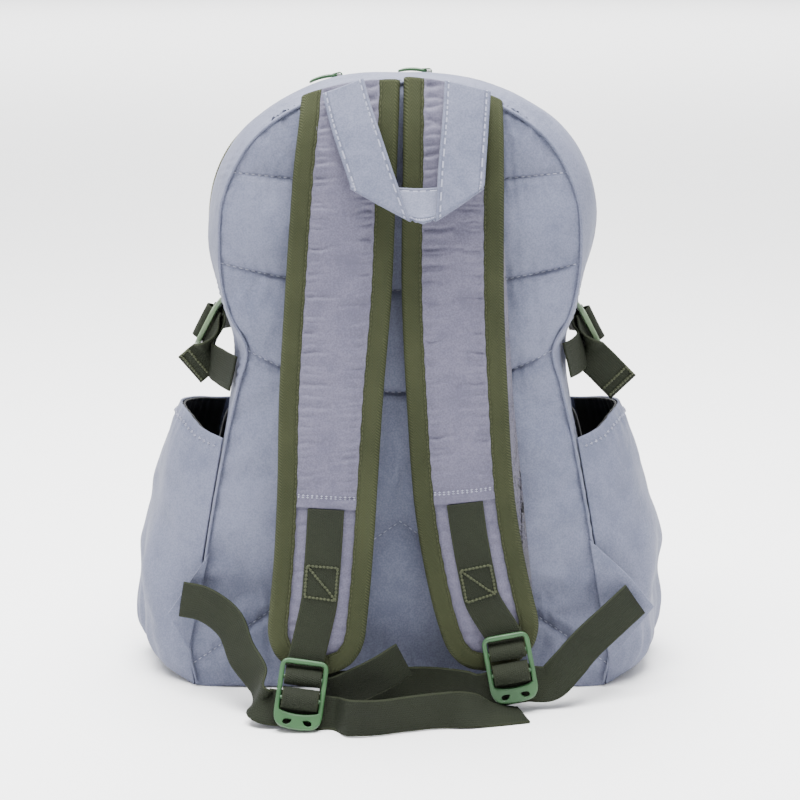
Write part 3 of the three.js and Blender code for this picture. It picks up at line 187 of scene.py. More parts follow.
class Spine:
    """Centripetal curve through chosen points, as long as it needs to be."""

    steps = 200

    def __init__(self, points: Sequence[Vector], tension: float | None = None) -> None:
        """Keep the points.

        Args:
            points: what the curve passes through.
            tension: None for a centripetal curve, or the pull of an even one.
        """
        self.points = [Vector(p) for p in points]
        self.tension = tension
        self._lengths: list[float] = []

    def at(self, t: float) -> Vector:
        """The point at t, from 0 to 1, in even steps from one chosen point to the next."""
        points = self.points
        count = len(points)
        place = (count - 1) * min(max(t, 0.0), 1.0)
        start = min(int(place), count - 2)
        weight = place - start
        p1, p2 = points[start], points[start + 1]
        p0 = points[start - 1] if start > 0 else p1 * 2 - p2
        p3 = points[start + 2] if start + 2 < count else p2 * 2 - p1
        if self.tension is None:
            gaps = ((p0, p1), (p1, p2), (p2, p3))
            d0, d1, d2 = (max((b - a).length_squared, 1e-12) ** 0.25 for a, b in gaps)
            t1 = ((p1 - p0) / d0 - (p2 - p0) / (d0 + d1) + (p2 - p1) / d1) * d1
            t2 = ((p2 - p1) / d1 - (p3 - p1) / (d1 + d2) + (p3 - p2) / d2) * d1
        else:
            t1, t2 = (p2 - p0) * self.tension, (p3 - p1) * self.tension
        square, cube = weight**2, weight**3
        bend, twist = p2 * 3 - p1 * 3 - t1 * 2 - t2, p1 * 2 - p2 * 2 + t1 + t2
        return p1 + t1 * weight + bend * square + twist * cube

    def tangent(self, t: float) -> Vector:
        """Unit direction of the curve at t."""
        step = 1e-4
        return (self.at(min(t + step, 1.0)) - self.at(max(t - step, 0.0))).normalized()

    def _table(self) -> list[float]:
        """Running length at even steps of t."""
        if not self._lengths:
            total = 0.0
            last = self.at(0.0)
            self._lengths.append(0.0)
            for number in range(1, self.steps + 1):
                here = self.at(number / self.steps)
                total += (here - last).length
                self._lengths.append(total)
                last = here
        return self._lengths

    @property
    def length(self) -> float:
        """Whole length of the curve."""
        return self._table()[-1]

    def t_at(self, distance: float) -> float:
        """The t that lies a distance along the curve."""
        table = self._table()
        low, high = 0, self.steps
        while high - low > 1:
            middle = (low + high) // 2
            if table[middle] <= distance:
                low = middle
            else:
                high = middle
        span = table[high] - table[low]
        return (low + (min(max(distance, 0.0), table[-1]) - table[low]) / span) / self.steps


class Profile:
    """Rows of named numbers read smoothly at any place between two rows."""

    def __init__(self, rows: Sequence[Sequence[float]]) -> None:
        """Keep the rows, each a sequence of the same length."""
        self.rows = [tuple(row) for row in rows]

    def at(self, t: float) -> list[float]:
        """The numbers at t, from 0 at the first row to 1 at the last."""
        count = len(self.rows)
        place = (count - 1) * min(max(t, 0.0), 1.0)
        start = min(int(place), count - 2)
        weight = place - start
        before = self.rows[max(start - 1, 0)]
        after = self.rows[min(start + 2, count - 1)]
        found = []
        for k, (a, b) in enumerate(zip(self.rows[start], self.rows[start + 1])):
            rise_a, rise_b = (b - before[k]) / 2, (after[k] - a) / 2
            square, cube = weight**2, weight**3
            found.append(
                a
                + rise_a * weight
                + (3 * (b - a) - 2 * rise_a - rise_b) * square
                + (2 * (a - b) + rise_a + rise_b) * cube
            )
        return found


class Station(NamedTuple):
    """Half outline of seam and girth: across in shares of the half width, up in shares of the height."""

    seam_x: float
    seam_z: float
    girth_x: float
    girth_z: float


OUTLINE = (
    Station(1.07, 0.0, 1.09, 0.0),
    Station(1.1, 0.06, 1.11, 0.06),
    Station(1.025, 0.185, 1.045, 0.185),
    Station(0.975, 0.28, 0.995, 0.28),
    Station(0.895, 0.41, 0.92, 0.41),
    Station(0.825, 0.505, 0.865, 0.505),
    Station(0.785, 0.562, 0.87, 0.57),
    Station(0.865, 0.617, 0.905, 0.62),
    Station(0.905, 0.67, 0.94, 0.665),
    Station(0.918, 0.737, 0.997, 0.735),
    Station(0.9, 0.8, 0.993, 0.8),
    Station(0.838, 0.853, 0.95, 0.853),
    Station(0.74, 0.9, 0.865, 0.9),
    Station(0.6, 0.936, 0.73, 0.938),
    Station(0.41, 0.966, 0.53, 0.972),
    Station(0.205, 0.984, 0.27, 0.995),
    Station(0.0, 0.99, 0.0, 1.0),
)


class BagShape:
    """The arch of the bag: where a place round it, at a depth, lies."""

    def __init__(self, sizes: BagSizes) -> None:
        """Make the two arch curves."""
        self.sizes = sizes
        self.seam = self._arch(0, 1)
        self.girth = self._arch(2, 3)

    def _arch(self, across: int, up: int) -> Spine:
        """Curve from the left base corner over the crown to the right one."""
        span = self.sizes.height - self.sizes.base_top
        half = [
            Vector((row[across] * self.sizes.half, 0.0, self.sizes.base_top + row[up] * span)) for row in OUTLINE
        ]
        left = [Vector((-p.x, 0.0, p.z)) for p in half]
        return Spine(left + half[-2::-1])

    @lru_cache(maxsize=20000)
    def _ends(self, place: float) -> tuple[Vector, Vector]:
        """Seam and girth points at a place round the arch."""
        return self.seam.at(place), self.girth.at(place)

    def point(self, place: float, deep: float, bulge: float, drop: float) -> Vector:
        """A point of the gusset.

        Args:
            place: 0 to 1 round the arch.
            deep: share of the depth from the harness side.
            bulge: 0 on the seam outline, 1 on the girth.
            drop: share of the height that the crown falls by.

        Returns:
            The point, in millimetres.
        """
        seam, girth = self._ends(place)
        point = seam.lerp(girth, bulge)
        high = point.z / self.sizes.height
        point.z -= drop * self.sizes.height * high * high
        point.y = self.sizes.back_y + deep * self.sizes.depth
        return point

    @lru_cache(maxsize=4000)
    def place_at(self, height: float) -> float:
        """Place round the arch where its left side passes a height."""
        return halve(0.0, 0.5, lambda place: self.seam.at(place).z < height)

    @lru_cache(maxsize=4000)
    def arch_height(self, distance: float, drop: float) -> float:
        """Height of the arch above a distance from the centre line."""
        place = halve(0.3, 0.5, lambda tried: -self.seam.at(tried).x > distance)
        return self.point(place, 0.0, 0.0, drop).z


SHAPE = BagShape(BAG)


class Socket:
    """A shader value that takes part in plain arithmetic."""

    def __init__(self, graph: "Graph", link: bpy.types.NodeSocket) -> None:
        """Wrap an output socket of a graph's node."""
        self.graph = graph
        self.link = link

    def _math(self, operation: str, *values: "Socket | float") -> "Socket":
        """A Math node on this and other values."""
        return self.graph.node("ShaderNodeMath", {"operation": operation}, dict(enumerate(values)))

    def __add__(self, other: "Socket | float") -> "Socket":
        """Sum."""
        return self._math("ADD", self, other)

    __radd__ = __add__

    def __sub__(self, other: "Socket | float") -> "Socket":
        """Difference."""
        return self._math("SUBTRACT", self, other)

    def __rsub__(self, other: float) -> "Socket":
        """Difference from a number."""
        return self._math("SUBTRACT", other, self)

    def __mul__(self, other: "Socket | float") -> "Socket":
        """Product."""
        return self._math("MULTIPLY", self, other)

    __rmul__ = __mul__

    def __truediv__(self, other: "Socket | float") -> "Socket":
        """Quotient."""
        return self._math("DIVIDE", self, other)

    def size(self) -> "Socket":
        """The value without its sign."""
        return self._math("ABSOLUTE", self)

    def saw(self) -> "Socket":
        """What is left of the value above its whole number."""
        return self._math("FRACT", self)

    def whole(self) -> "Socket":
        """The whole number at or below the value."""
        return self._math("FLOOR", self)

    def over(self, limit: "Socket | float") -> "Socket":
        """1 above a limit, else 0."""
        return self._math("GREATER_THAN", self, limit)

    def under(self, limit: "Socket | float") -> "Socket":
        """1 below a limit, else 0."""
        return self._math("LESS_THAN", self, limit)

    def ramp(self, low: float, high: float) -> "Socket":
        """The value eased from 0 at low to 1 at high."""
        return self.graph.node(
            "ShaderNodeMapRange",
            {"interpolation_type": "SMOOTHSTEP"},
            {"Value": self, "From Min": low, "From Max": high},
        )


class Graph:
    """The nodes of one material."""

    def __init__(self, name: str) -> None:
        """Make an empty material with its shader."""
        self.material = bpy.data.materials.new(name)
        self.material.use_nodes = True
        self.tree = self.material.node_tree
        self.shader = next(n for n in self.tree.nodes if n.type == "BSDF_PRINCIPLED")

    def node(
        self, kind: str, settings: dict[str, object], values: dict[int | str, object], output: int | str = 0
    ) -> Socket:
        """Add any node.

        Args:
            kind: the node's type.
            settings: properties that are set first.
            values: numbers, colours, vectors or sockets for its inputs.
            output: which output to use.

        Returns:
            The output, wrapped.
        """
        made = self.tree.nodes.new(kind)
        for name, value in settings.items():
            setattr(made, name, value)
        for name, value in values.items():
            if isinstance(value, Socket):
                self.tree.links.new(value.link, made.inputs[name])
            else:
                made.inputs[name].default_value = value
        return Socket(self, made.outputs[output])

    def place(self) -> Socket:
        """Place in the scene, in metres."""
        return self.node("ShaderNodeTexCoord", {}, {}, "Object")

    def sheet(self) -> tuple[Socket, Socket]:
        """Place on the piece in millimetres: along its length and across it."""
        layer = self.node("ShaderNodeUVMap", {"uv_map": "UVMap"}, {})
        split = self.tree.nodes.new("ShaderNodeSeparateXYZ")
        self.tree.links.new(layer.link, split.inputs[0])
        return Socket(self, split.outputs["X"]), Socket(self, split.outputs["Y"])

    def noise(
        self, scale: float, detail: float = 3.0, rough: float = 0.5, where: Socket | None = None
    ) -> Socket:
        """Noise over the piece with that many features to the metre."""
        return self.node(
            "ShaderNodeTexNoise",
            {},
            {"Vector": where or self.place(), "Scale": scale, "Detail": detail, "Roughness": rough},
        )

    def stretched(self, stretch: Vector) -> Socket:
        """Place with each direction stretched by a factor."""
        values = {"Vector": self.place(), "Scale": stretch}
        return self.node("ShaderNodeMapping", {"vector_type": "POINT"}, values)

    def blend(self, share: Socket | float, first: object, second: object) -> Socket:
        """A colour between two."""
        made = self.tree.nodes.new("ShaderNodeMix")
        made.data_type = "RGBA"
        for name, value in (("Factor_Float", share), ("A_Color", first), ("B_Color", second)):
            socket = next(s for s in made.inputs if s.identifier == name)
            if isinstance(value, Socket):
                self.tree.links.new(value.link, socket)
            else:
                socket.default_value = value
        return Socket(self, next(s for s in made.outputs if s.identifier == "Result_Color"))

    def bump(self, height: Socket, depth: float, below: Socket | None = None) -> Socket:
        """A normal from a height from 0 to 1 that stands for a depth in metres."""
        values: dict[int | str, object] = {"Height": height, "Distance": depth, "Strength": 1.0}
        if below is not None:
            values["Normal"] = below
        return self.node("ShaderNodeBump", {}, values)

    def finish(
        self, colour: object, rough: object, normal: Socket | None = None, **fixed: float
    ) -> bpy.types.Material:
        """Fill the shader.

        Args:
            colour: base colour or its socket.
            rough: roughness or its socket.
            normal: the normal, if any.
            **fixed: other inputs with _ for spaces, each a plain number.

        Returns:
            The finished material.
        """
        for name, value in (("Base Color", colour), ("Roughness", rough), ("Normal", normal)):
            if isinstance(value, Socket):
                self.tree.links.new(value.link, self.shader.inputs[name])
            elif value is not None:
                self.shader.inputs[name].default_value = value
        for name, value in fixed.items():
            self.shader.inputs[name.replace("_", " ").title().replace("Ior", "IOR")].default_value = value
        return self.material


Colour = tuple[float, float, float, float]


CLOTH_SHINE = {"sheen_weight": 0.06, "sheen_roughness": 0.4, "specular_ior_level": 0.3}


def crushed(
    graph: Graph, colours: tuple[Colour, Colour], patch: Socket, crease: Socket
) -> tuple[Socket, Socket, Socket]:
    """Mottled colour of crushed nylon, with painted highlight along the crests of its creases.

    Args:
        graph: the material's nodes.
        colours: its darker tone and its lighter one.
        patch: noise of the large patches.
        crease: noise of the creases.

    Returns:
        The colour, the crests of the creases and the fleck of the threads.
    """
    fleck = graph.noise(900.0, 2.0)
    ridge = 1 - (crease - 0.5).size() * 2
    # Random patches and flecks vary the tone; the ridge term paints the crests of the creases lighter as painted
    # highlight.
    share = patch.ramp(0.3, 0.7) * 0.32 + fleck.ramp(0.3, 0.7) * 0.5 + (ridge - 0.8) * 0.9
    return graph.blend(share.ramp(0.0, 1.0), *colours), ridge.ramp(0.55, 1.0), fleck


@dataclass(frozen=True)
class BrushedNylon:
    """Fine plain-weave nylon with a soft sheen, mottled tone and faint crush marks whose crests carry painted
    highlight.
    """

    name: str
    light: Colour
    deep: Colour
    weave: float = 0.55
    crush: float = 0.0007

    def make(self) -> bpy.types.Material:
        """The material."""
        graph = Graph(self.name)
        patch, crease = graph.noise(9.0, 4.0, 0.55), graph.noise(34.0, 5.0, 0.62)
        colour, ridge, fleck = crushed(graph, (self.deep, self.light), patch, crease)
        values = {"Vector": graph.place(), "Scale": 160 / self.weave, "Distortion": 0.6}
        warp, weft = (graph.node("ShaderNodeTexWave", {"bands_direction": way}, values, "Fac") for way in "ZX")
        soft = graph.bump(ridge * 0.5 + graph.noise(130.0, 3.0, 0.6) * 0.5, self.crush)
        normal = graph.bump((warp + weft) * 0.5, 0.00005, soft)
        return graph.finish(colour, 0.62 + fleck * 0.12, normal, **CLOTH_SHINE)


@dataclass(frozen=True)
class StitchRow:
    """A row of stitches along a strip."""

    at: float
    pitch: float = 4.2
    length: float = 0.62
    width: float = 0.55

    def mask(self, along: Socket, across: Socket) -> tuple[Socket, Socket]:
        """Where the thread shows and how deep the cloth is pulled in round it."""
        near = (across - self.at).size()
        line = near.under(self.width)
        dash = (along / self.pitch).saw().under(self.length)
        pull = 1 - near.ramp(0.0, self.width * 3.4)
        return line * dash, pull


@dataclass(frozen=True)
class StitchedCloth:
    """Nylon on a strip with its own rows of stitches, read from the strip's UV map in millimetres."""

    base: BrushedNylon
    thread: Colour
    rows: tuple[StitchRow, ...]

    def make(self) -> bpy.types.Material:
        """The material."""
        graph = Graph(self.base.name)
        along, across = graph.sheet()
        patch, crease = graph.noise(11.0, 4.0, 0.55), graph.noise(40.0, 5.0, 0.6)
        colour, ridge, fleck = crushed(graph, (self.base.deep, self.base.light), patch, crease)
        normal = graph.bump(ridge * 0.35 + fleck * 0.1, self.base.crush)
        thread: Socket | float = 0.0
        pulled: Socket | float = 0.0
        for row in self.rows:
            mark, pull = row.mask(along, across)
            thread = mark + thread
            pulled = pull + pulled
        if isinstance(pulled, Socket) and isinstance(thread, Socket):
            normal = graph.bump(thread.ramp(0.0, 1.0) * 0.6 - pulled, 0.0006, normal)
            # Painted shade: the cloth pulled in round the thread is darkened.
            shade = tuple(c * 0.5 for c in self.base.deep[:3]) + (1.0,)
            colour = graph.blend(pulled.ramp(0.0, 1.6) * 0.35, colour, shade)
            colour = graph.blend(thread.ramp(0.0, 1.0), colour, self.thread)
        return graph.finish(colour, 0.62 + fleck * 0.12, normal, **CLOTH_SHINE)


@dataclass(frozen=True)
class Herringbone:
    """Twill tape whose diagonal ribs turn at even widths, with a stitched inner margin."""

    name: str
    light: Colour
    deep: Colour
    thread: Colour
    turn: float = 7.6
    rib: float = 2.0
    rows: tuple[StitchRow, ...] = ()

    def make(self) -> bpy.types.Material:
        """The material."""
        graph = Graph(self.name)
        along, across = graph.sheet()
        zigzag = ((across / self.turn).saw() - 0.5).size() * self.turn * 2
        rib = ((along + zigzag) / self.rib).saw() - 0.5
        round_rib = 1 - rib.size() * 2
        patch = graph.noise(14.0, 3.0)
        fuzz = graph.noise(1500.0, 2.0)
        # The rib crowns are painted lighter than the grooves between them: painted shade in the twill, over random
        # tone from patch and fuzz.
        share = round_rib.ramp(0.1, 0.9) * 0.55 + patch.ramp(0.3, 0.7) * 0.3 + fuzz * 0.2
        colour = graph.blend(share, self.deep, self.light)
        normal = graph.bump(round_rib.ramp(0.0, 1.0) * 0.8 + fuzz * 0.2, 0.00028)
        for row in self.rows:
            mark, pull = row.mask(along, across)
            colour = graph.blend(mark, colour, self.thread)
            normal = graph.bump(mark * 0.6 - pull, 0.0005, normal)
        return graph.finish(colour, 0.78 + fuzz * 0.1, normal, specular_ior_level=0.15)


@dataclass(frozen=True)
class Webbing:
    """Flat woven webbing: ribs across, cords along, with painted highlight along the selvedges."""

    name: str
    light: Colour
    deep: Colour
    edge: Colour
    width: float = 25.0
    pick: float = 1.15
    cord: float = 1.55

    def make(self) -> bpy.types.Material:
        """The material."""
        graph = Graph(self.name)
        along, across = graph.sheet()
        shift = ((across / self.cord).whole() * 0.5).saw() * self.pick
        pick = 1 - (((along + shift) / self.pick).saw() - 0.5).size() * 2
        cord = 1 - ((across / self.cord).saw() - 0.5).size() * 2
        height = pick.ramp(0.0, 0.9) * 0.6 + cord.ramp(0.0, 0.7) * 0.4
        patch = graph.noise(18.0, 3.0)
        fuzz = graph.noise(1800.0, 2.0)
        # Picks and cords are painted lighter than the hollows between them: painted shade in the weave, over random
        # tone from patch and fuzz.
        share = height * 0.5 + patch.ramp(0.3, 0.7) * 0.3 + fuzz * 0.25
        colour = graph.blend(share, self.deep, self.light)
        # Painted highlight along the selvedges, in the edge colour.
        rim = (across - self.width / 2).size().ramp(self.width / 2 - 1.3, self.width / 2 - 0.3)
        colour = graph.blend(rim * 0.55, colour, self.edge)
        normal = graph.bump(height + fuzz * 0.15, 0.0003)
        return graph.finish(colour, 0.7 + fuzz * 0.12, normal, specular_ior_level=0.2)


@dataclass(frozen=True)
class MouldedPlastic:
    """Satin moulded plastic with a fine spark texture and soft patches of tone."""

    name: str
    light: Colour
    deep: Colour
    gloss: float = 0.34

    def make(self) -> bpy.types.Material:
        """The material."""
        graph = Graph(self.name)
        grain = graph.noise(2400.0, 2.0)
        patch = graph.noise(60.0, 3.0)
        colour = graph.blend(patch.ramp(0.3, 0.75) * 0.8 + grain * 0.2, self.deep, self.light)
        normal = graph.bump(grain, 0.00004)
        rough = self.gloss + patch * 0.1 + grain * 0.06
        return graph.finish(colour, rough, normal, ior=1.5)


@dataclass(frozen=True)
class SliderMetal:
    """Satin silver zip hardware with fine scratches."""

    name: str = "slider_metal"
    light: Colour = (0.7, 0.7, 0.68, 1.0)
    deep: Colour = (0.45, 0.45, 0.44, 1.0)

    def make(self) -> bpy.types.Material:
        """The material."""
        graph = Graph(self.name)
        scratch = graph.noise(900.0, 4.0, 0.7, graph.stretched(Vector((1.0, 0.1, 1.0))))
        colour = graph.blend(scratch.ramp(0.3, 0.7), self.deep, self.light)
        return graph.finish(colour, 0.24 + scratch * 0.2, graph.bump(scratch, 0.00004), metallic=1.0)


NYLON = BrushedNylon("nylon", (0.142, 0.152, 0.216, 1.0), (0.088, 0.098, 0.15, 1.0))
STRAP_NYLON = BrushedNylon("strap_nylon", (0.114, 0.108, 0.156, 1.0), (0.07, 0.067, 0.103, 1.0))
PALE_THREAD: Colour = (0.25, 0.26, 0.335, 1.0)
# Near-black: painted shade inside the side pockets, on their real lining.
LINING_PAINTED_SHADE = BrushedNylon("lining", (0.012, 0.013, 0.012, 1.0), (0.006, 0.006, 0.006, 1.0))
BINDING = Herringbone(
    "binding",
    (0.044, 0.05, 0.023, 1.0),
    (0.012, 0.015, 0.006, 1.0),
    (0.05, 0.056, 0.029, 1.0),
    rows=(StitchRow(10.6, 3.4, 0.55, 0.35), StitchRow(-10.6, 3.4, 0.55, 0.35)),
)
# Its third colour is the painted highlight along the selvedges.
WEBBING = Webbing(
    "webbing", (0.0135, 0.017, 0.008, 1.0), (0.0035, 0.005, 0.0025, 1.0), (0.022, 0.027, 0.012, 1.0)
)
GREEN_PLASTIC = MouldedPlastic("green_plastic", (0.03, 0.092, 0.031, 1.0), (0.02, 0.066, 0.022, 1.0))
PALE_PLASTIC = MouldedPlastic("pale_green_plastic", (0.16, 0.235, 0.13, 1.0), (0.115, 0.175, 0.092, 1.0))
ZIP_CLOTH = BrushedNylon("zip_tape", (0.1, 0.105, 0.034, 1.0), (0.06, 0.064, 0.02, 1.0))
THREAD = BrushedNylon("thread", (0.36, 0.37, 0.46, 1.0), (0.27, 0.28, 0.36, 1.0))
OLIVE_THREAD = BrushedNylon("olive_thread", (0.045, 0.052, 0.024, 1.0), (0.026, 0.031, 0.014, 1.0))

Flat = tuple[float, float]
LatticePlace = Callable[[float, float], Vector]
Facing = Callable[[Vector], Vector]


def spread(start: float, end: float, steps: int) -> list[float]:
    """Even places from start to end."""
    return [start + (end - start) * number / steps for number in range(steps + 1)]


def away_from_middle(point: Vector) -> Vector:
    """Direction away from the bag's middle line, in the scene."""
    return point - Vector((0.0, (BAG.back_y + BAG.depth / 2 + SHIFT_Y) * MM, 0.2))


def towards_wearer(_: Vector) -> Vector:
    """The harness side's direction."""
    return Vector((0.0, -1.0, 0.0))


def lattice(
    columns: Sequence[float],
    rows: Sequence[float],
    place: LatticePlace,
    stretch: tuple[float, float] = (1.0, 1.0),
    facing: Facing | None = None,
) -> bmesh.types.BMesh:
    """A grid laid over a surface, with a UV map in millimetres.

    Args:
        columns: first parameter of each column.
        rows: second parameter of each row.
        place: point of the bag's frame for two parameters.
        stretch: millimetres to a unit of each parameter.
        facing: which way its faces look, or None to leave them.

    Returns:
        The grid.
    """
    mesh = bmesh.new()
    layer = mesh.loops.layers.uv.new("UVMap")
    across, up = len(columns) - 1, len(rows) - 1
    bmesh.ops.create_grid(mesh, x_segments=across, y_segments=up, size=0.5)
    spots: dict[bmesh.types.BMVert, tuple[float, float]] = {}
    for vert in mesh.verts:
        column = columns[round((vert.co.x + 0.5) * across)]
        row = rows[round((vert.co.y + 0.5) * up)]
        spots[vert] = (column, row)
    for face in mesh.faces:
        for loop in face.loops:
            column, row = spots[loop.vert]
            loop[layer].uv = (column * stretch[0], row * stretch[1])
    for vert, (column, row) in spots.items():
        vert.co = world(place(column, row))
    mesh.normal_update()
    if facing is not None:
        if sum(face.normal.dot(facing(face.calc_center_median())) * face.calc_area() for face in mesh.faces) < 0:
            bmesh.ops.reverse_faces(mesh, faces=mesh.faces[:])
    return mesh


class Wardrobe:
    """Turns meshes into pieces of the bag, each with its finish, its body and the nodes it stands for."""

    def __init__(self) -> None:
        """Start with no materials."""
        self.materials: dict[str, bpy.types.Material] = {}

    def cloth(self, finish: object) -> bpy.types.Material:
        """The material of a finish, made once."""
        name = repr(finish)
        if name not in self.materials:
            self.materials[name] = finish.make()
        return self.materials[name]

    def piece(
        self,
        name: str,
        mesh: bmesh.types.BMesh,
        finishes: Iterable[object],
        slot: str,
        replaces: Sequence[str] = (),
        wall: float = 0.0,
        offset: float = -1.0,
        body: str = "bag",
    ) -> bpy.types.Object:
        """Make the object of a mesh.

        Args:
            name: the piece's name.
            mesh: its shape in the scene.
            finishes: its materials in the order of their indices.
            slot: the record's material slot; not used.
            replaces: the nodes that it stands for.
            wall: thickness to give an open sheet, in millimetres.
            offset: -1 to grow inwards, 0 to both sides.
            body: what it moves with.

        Returns:
            The object.
        """
        data = bpy.data.meshes.new(name)
        mesh.to_mesh(data)
        mesh.free()
        for polygon in data.polygons:
            polygon.use_smooth = True
        made = bpy.data.objects.new(name, data)
        bpy.context.scene.collection.objects.link(made)
        for finish in finishes:
            data.materials.append(self.cloth(finish))
        if wall:
            shell = made.modifiers.new("Wall", "SOLIDIFY")
            shell.thickness = wall * MM
            shell.offset = offset
            shell.use_even_offset = False
        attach(made, body)
        if replaces:
            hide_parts(*replaces)
        LOG.info("piece %s: %d faces", name, len(data.polygons))
        return made

    def rounded_node(
        self,
        name: str,
        node: str,
        finish: object,
        slot: str,
        bevel: float,
        body: str = "bag",
        soften: int = 0,
    ) -> bpy.types.Object:
        """A hard node with its edges rounded as a mould rounds them.

        Args:
            name: the piece's name.
            node: the node that it stands for.
            finish: its material.
            slot: the record's material slot.
            bevel: width of the rounding, in millimetres.
            body: what it moves with.
            soften: levels of smoothing after the rounding.

        Returns:
            The object.
        """
        mesh = bmesh.new()
        mesh.from_mesh(frame["nodes"][node].data)
        bmesh.ops.remove_doubles(mesh, verts=mesh.verts[:], dist=1e-6)
        bmesh.ops.dissolve_limit(mesh, angle_limit=math.radians(3), verts=mesh.verts[:], edges=mesh.edges[:])
        made = self.piece(name, mesh, [finish], slot, [node], body=body)
        edge = made.modifiers.new("Edge", "BEVEL")
        edge.width = bevel * MM
        edge.segments = 3
        edge.limit_method = "ANGLE"
        edge.angle_limit = math.radians(50)
        edge.harden_normals = False
        if soften:
            smoothing = made.modifiers.new("Soften", "SUBSURF")
            smoothing.levels = smoothing.render_levels = soften
        return made


WARDROBE = Wardrobe()


def sewn(made: bpy.types.Object, width: float, length: float, rests_on: str, held: str = "stretched") -> None:
    """Receive a sewn piece of cloth and the size that it was cut to, in millimetres, and do nothing with them."""
    width * MM


def add_bead(
    mesh: bmesh.types.BMesh, centre: Vector, axes: tuple[Vector, Vector, Vector], half: tuple[float, float, float]
) -> None:
    """Lay a small rounded bead in the second material of a piece.

    Args:
        mesh: the piece.
        centre: the bead's place in the bag's frame.
        axes: its three directions.
        half: half its size along each, in millimetres.
    """
    turn = Matrix(axes).transposed().to_4x4()
    size = Matrix.Diagonal((half[0] * MM, half[1] * MM, half[2] * MM, 1.0))
    matrix = Matrix.Translation(world(centre)) @ turn @ size
    made = bmesh.ops.create_icosphere(mesh, subdivisions=1, radius=1.0, matrix=matrix)
    for face in {face for vert in made["verts"] for face in vert.link_faces}:
        face.material_index = 1


def add_stitches(
    mesh: bmesh.types.BMesh,
    path: Sequence[tuple[Vector, Vector]],
    pitch: float = 4.0,
    share: float = 0.62,
    thick: float = 0.45,
) -> None:
    """Lay a row of thread stitches on a piece, in its second material.

    Args:
        mesh: the piece.
        path: points of the row with the cloth's outward direction, in the bag's frame.
        pitch: from one stitch to the next, in millimetres.
        share: how much of the pitch the thread shows.
        thick: half the thread's width.
    """
    walked = 0.0
    due = pitch / 2
    for (start, up), (end, _) in zip(path, path[1:]):
        step = (end - start).length
        while step > 1e-6 and walked + step >= due:
            centre = start.lerp(end, (due - walked) / step)
            along = (end - start).normalized()
            side = along.cross(up).normalized()
            half = (pitch * share / 2, thick, thick * 0.8)
            add_bead(mesh, centre, (along, side, along.cross(side)), half)
            due += pitch
        walked += step


def relax(
    piece: bpy.types.Object, pins: dict[int, float], frames: int, pressure: float, slack: float, cap: float
) -> None:
    """Let a padded sheet swell between its seams, and keep what it becomes.

    Args:
        piece: an open sheet whose faces look outwards.
        pins: vertex number to how firmly it is sewn down.
        frames: length of the simulation.
        pressure: how hard the padding pushes.
        slack: how much more cloth there is than the flat shape needs.
        cap: the most that a point may move, in millimetres.
    """
    start = [vert.co.copy() for vert in piece.data.vertices]
    group = piece.vertex_groups.new(name="sewn")
    for number, weight in pins.items():
        group.add([number], weight, "REPLACE")
    cloth = piece.modifiers.new("Cloth", "CLOTH")
    settings = cloth.settings
    settings.quality = 6
    settings.mass = 0.12
    settings.tension_stiffness = settings.compression_stiffness = 18.0
    settings.shear_stiffness = 6.0
    settings.bending_stiffness = 0.12
    settings.vertex_group_mass = "sewn"
    settings.shrink_min = settings.shrink_max = -slack
    settings.use_pressure = True
    settings.uniform_pressure_force = pressure
    settings.effector_weights.gravity = 0.0
    cloth.collision_settings.use_collision = False
    cloth.collision_settings.use_self_collision = False
    cloth.point_cache.frame_start = 1
    cloth.point_cache.frame_end = frames
    scene = bpy.context.scene
    for number in range(1, frames + 1):
        scene.frame_set(number)
    found = piece.evaluated_get(bpy.context.evaluated_depsgraph_get())
    relaxed = [vert.co.copy() for vert in found.data.vertices]
    piece.modifiers.remove(cloth)
    scene.frame_set(1)
    furthest = 0.0
    for vert, here, there in zip(piece.data.vertices, start, relaxed):
        moved = there - here
        furthest = max(furthest, moved.length)
        if moved.length > cap * MM:
            moved *= cap * MM / moved.length
        vert.co = here + moved
    LOG.info("relaxed %s: furthest point moved %.1f mm", piece.name, furthest / MM)


ZIP_SHIFT = 0.07


def zip_lean(place: float) -> float:
    """How far the arch leans towards the harness at its left shoulder, where the zip comes into view."""
    return smooth(place, 0.24, 0.32) * (1 - smooth(place, 0.4, 0.47))


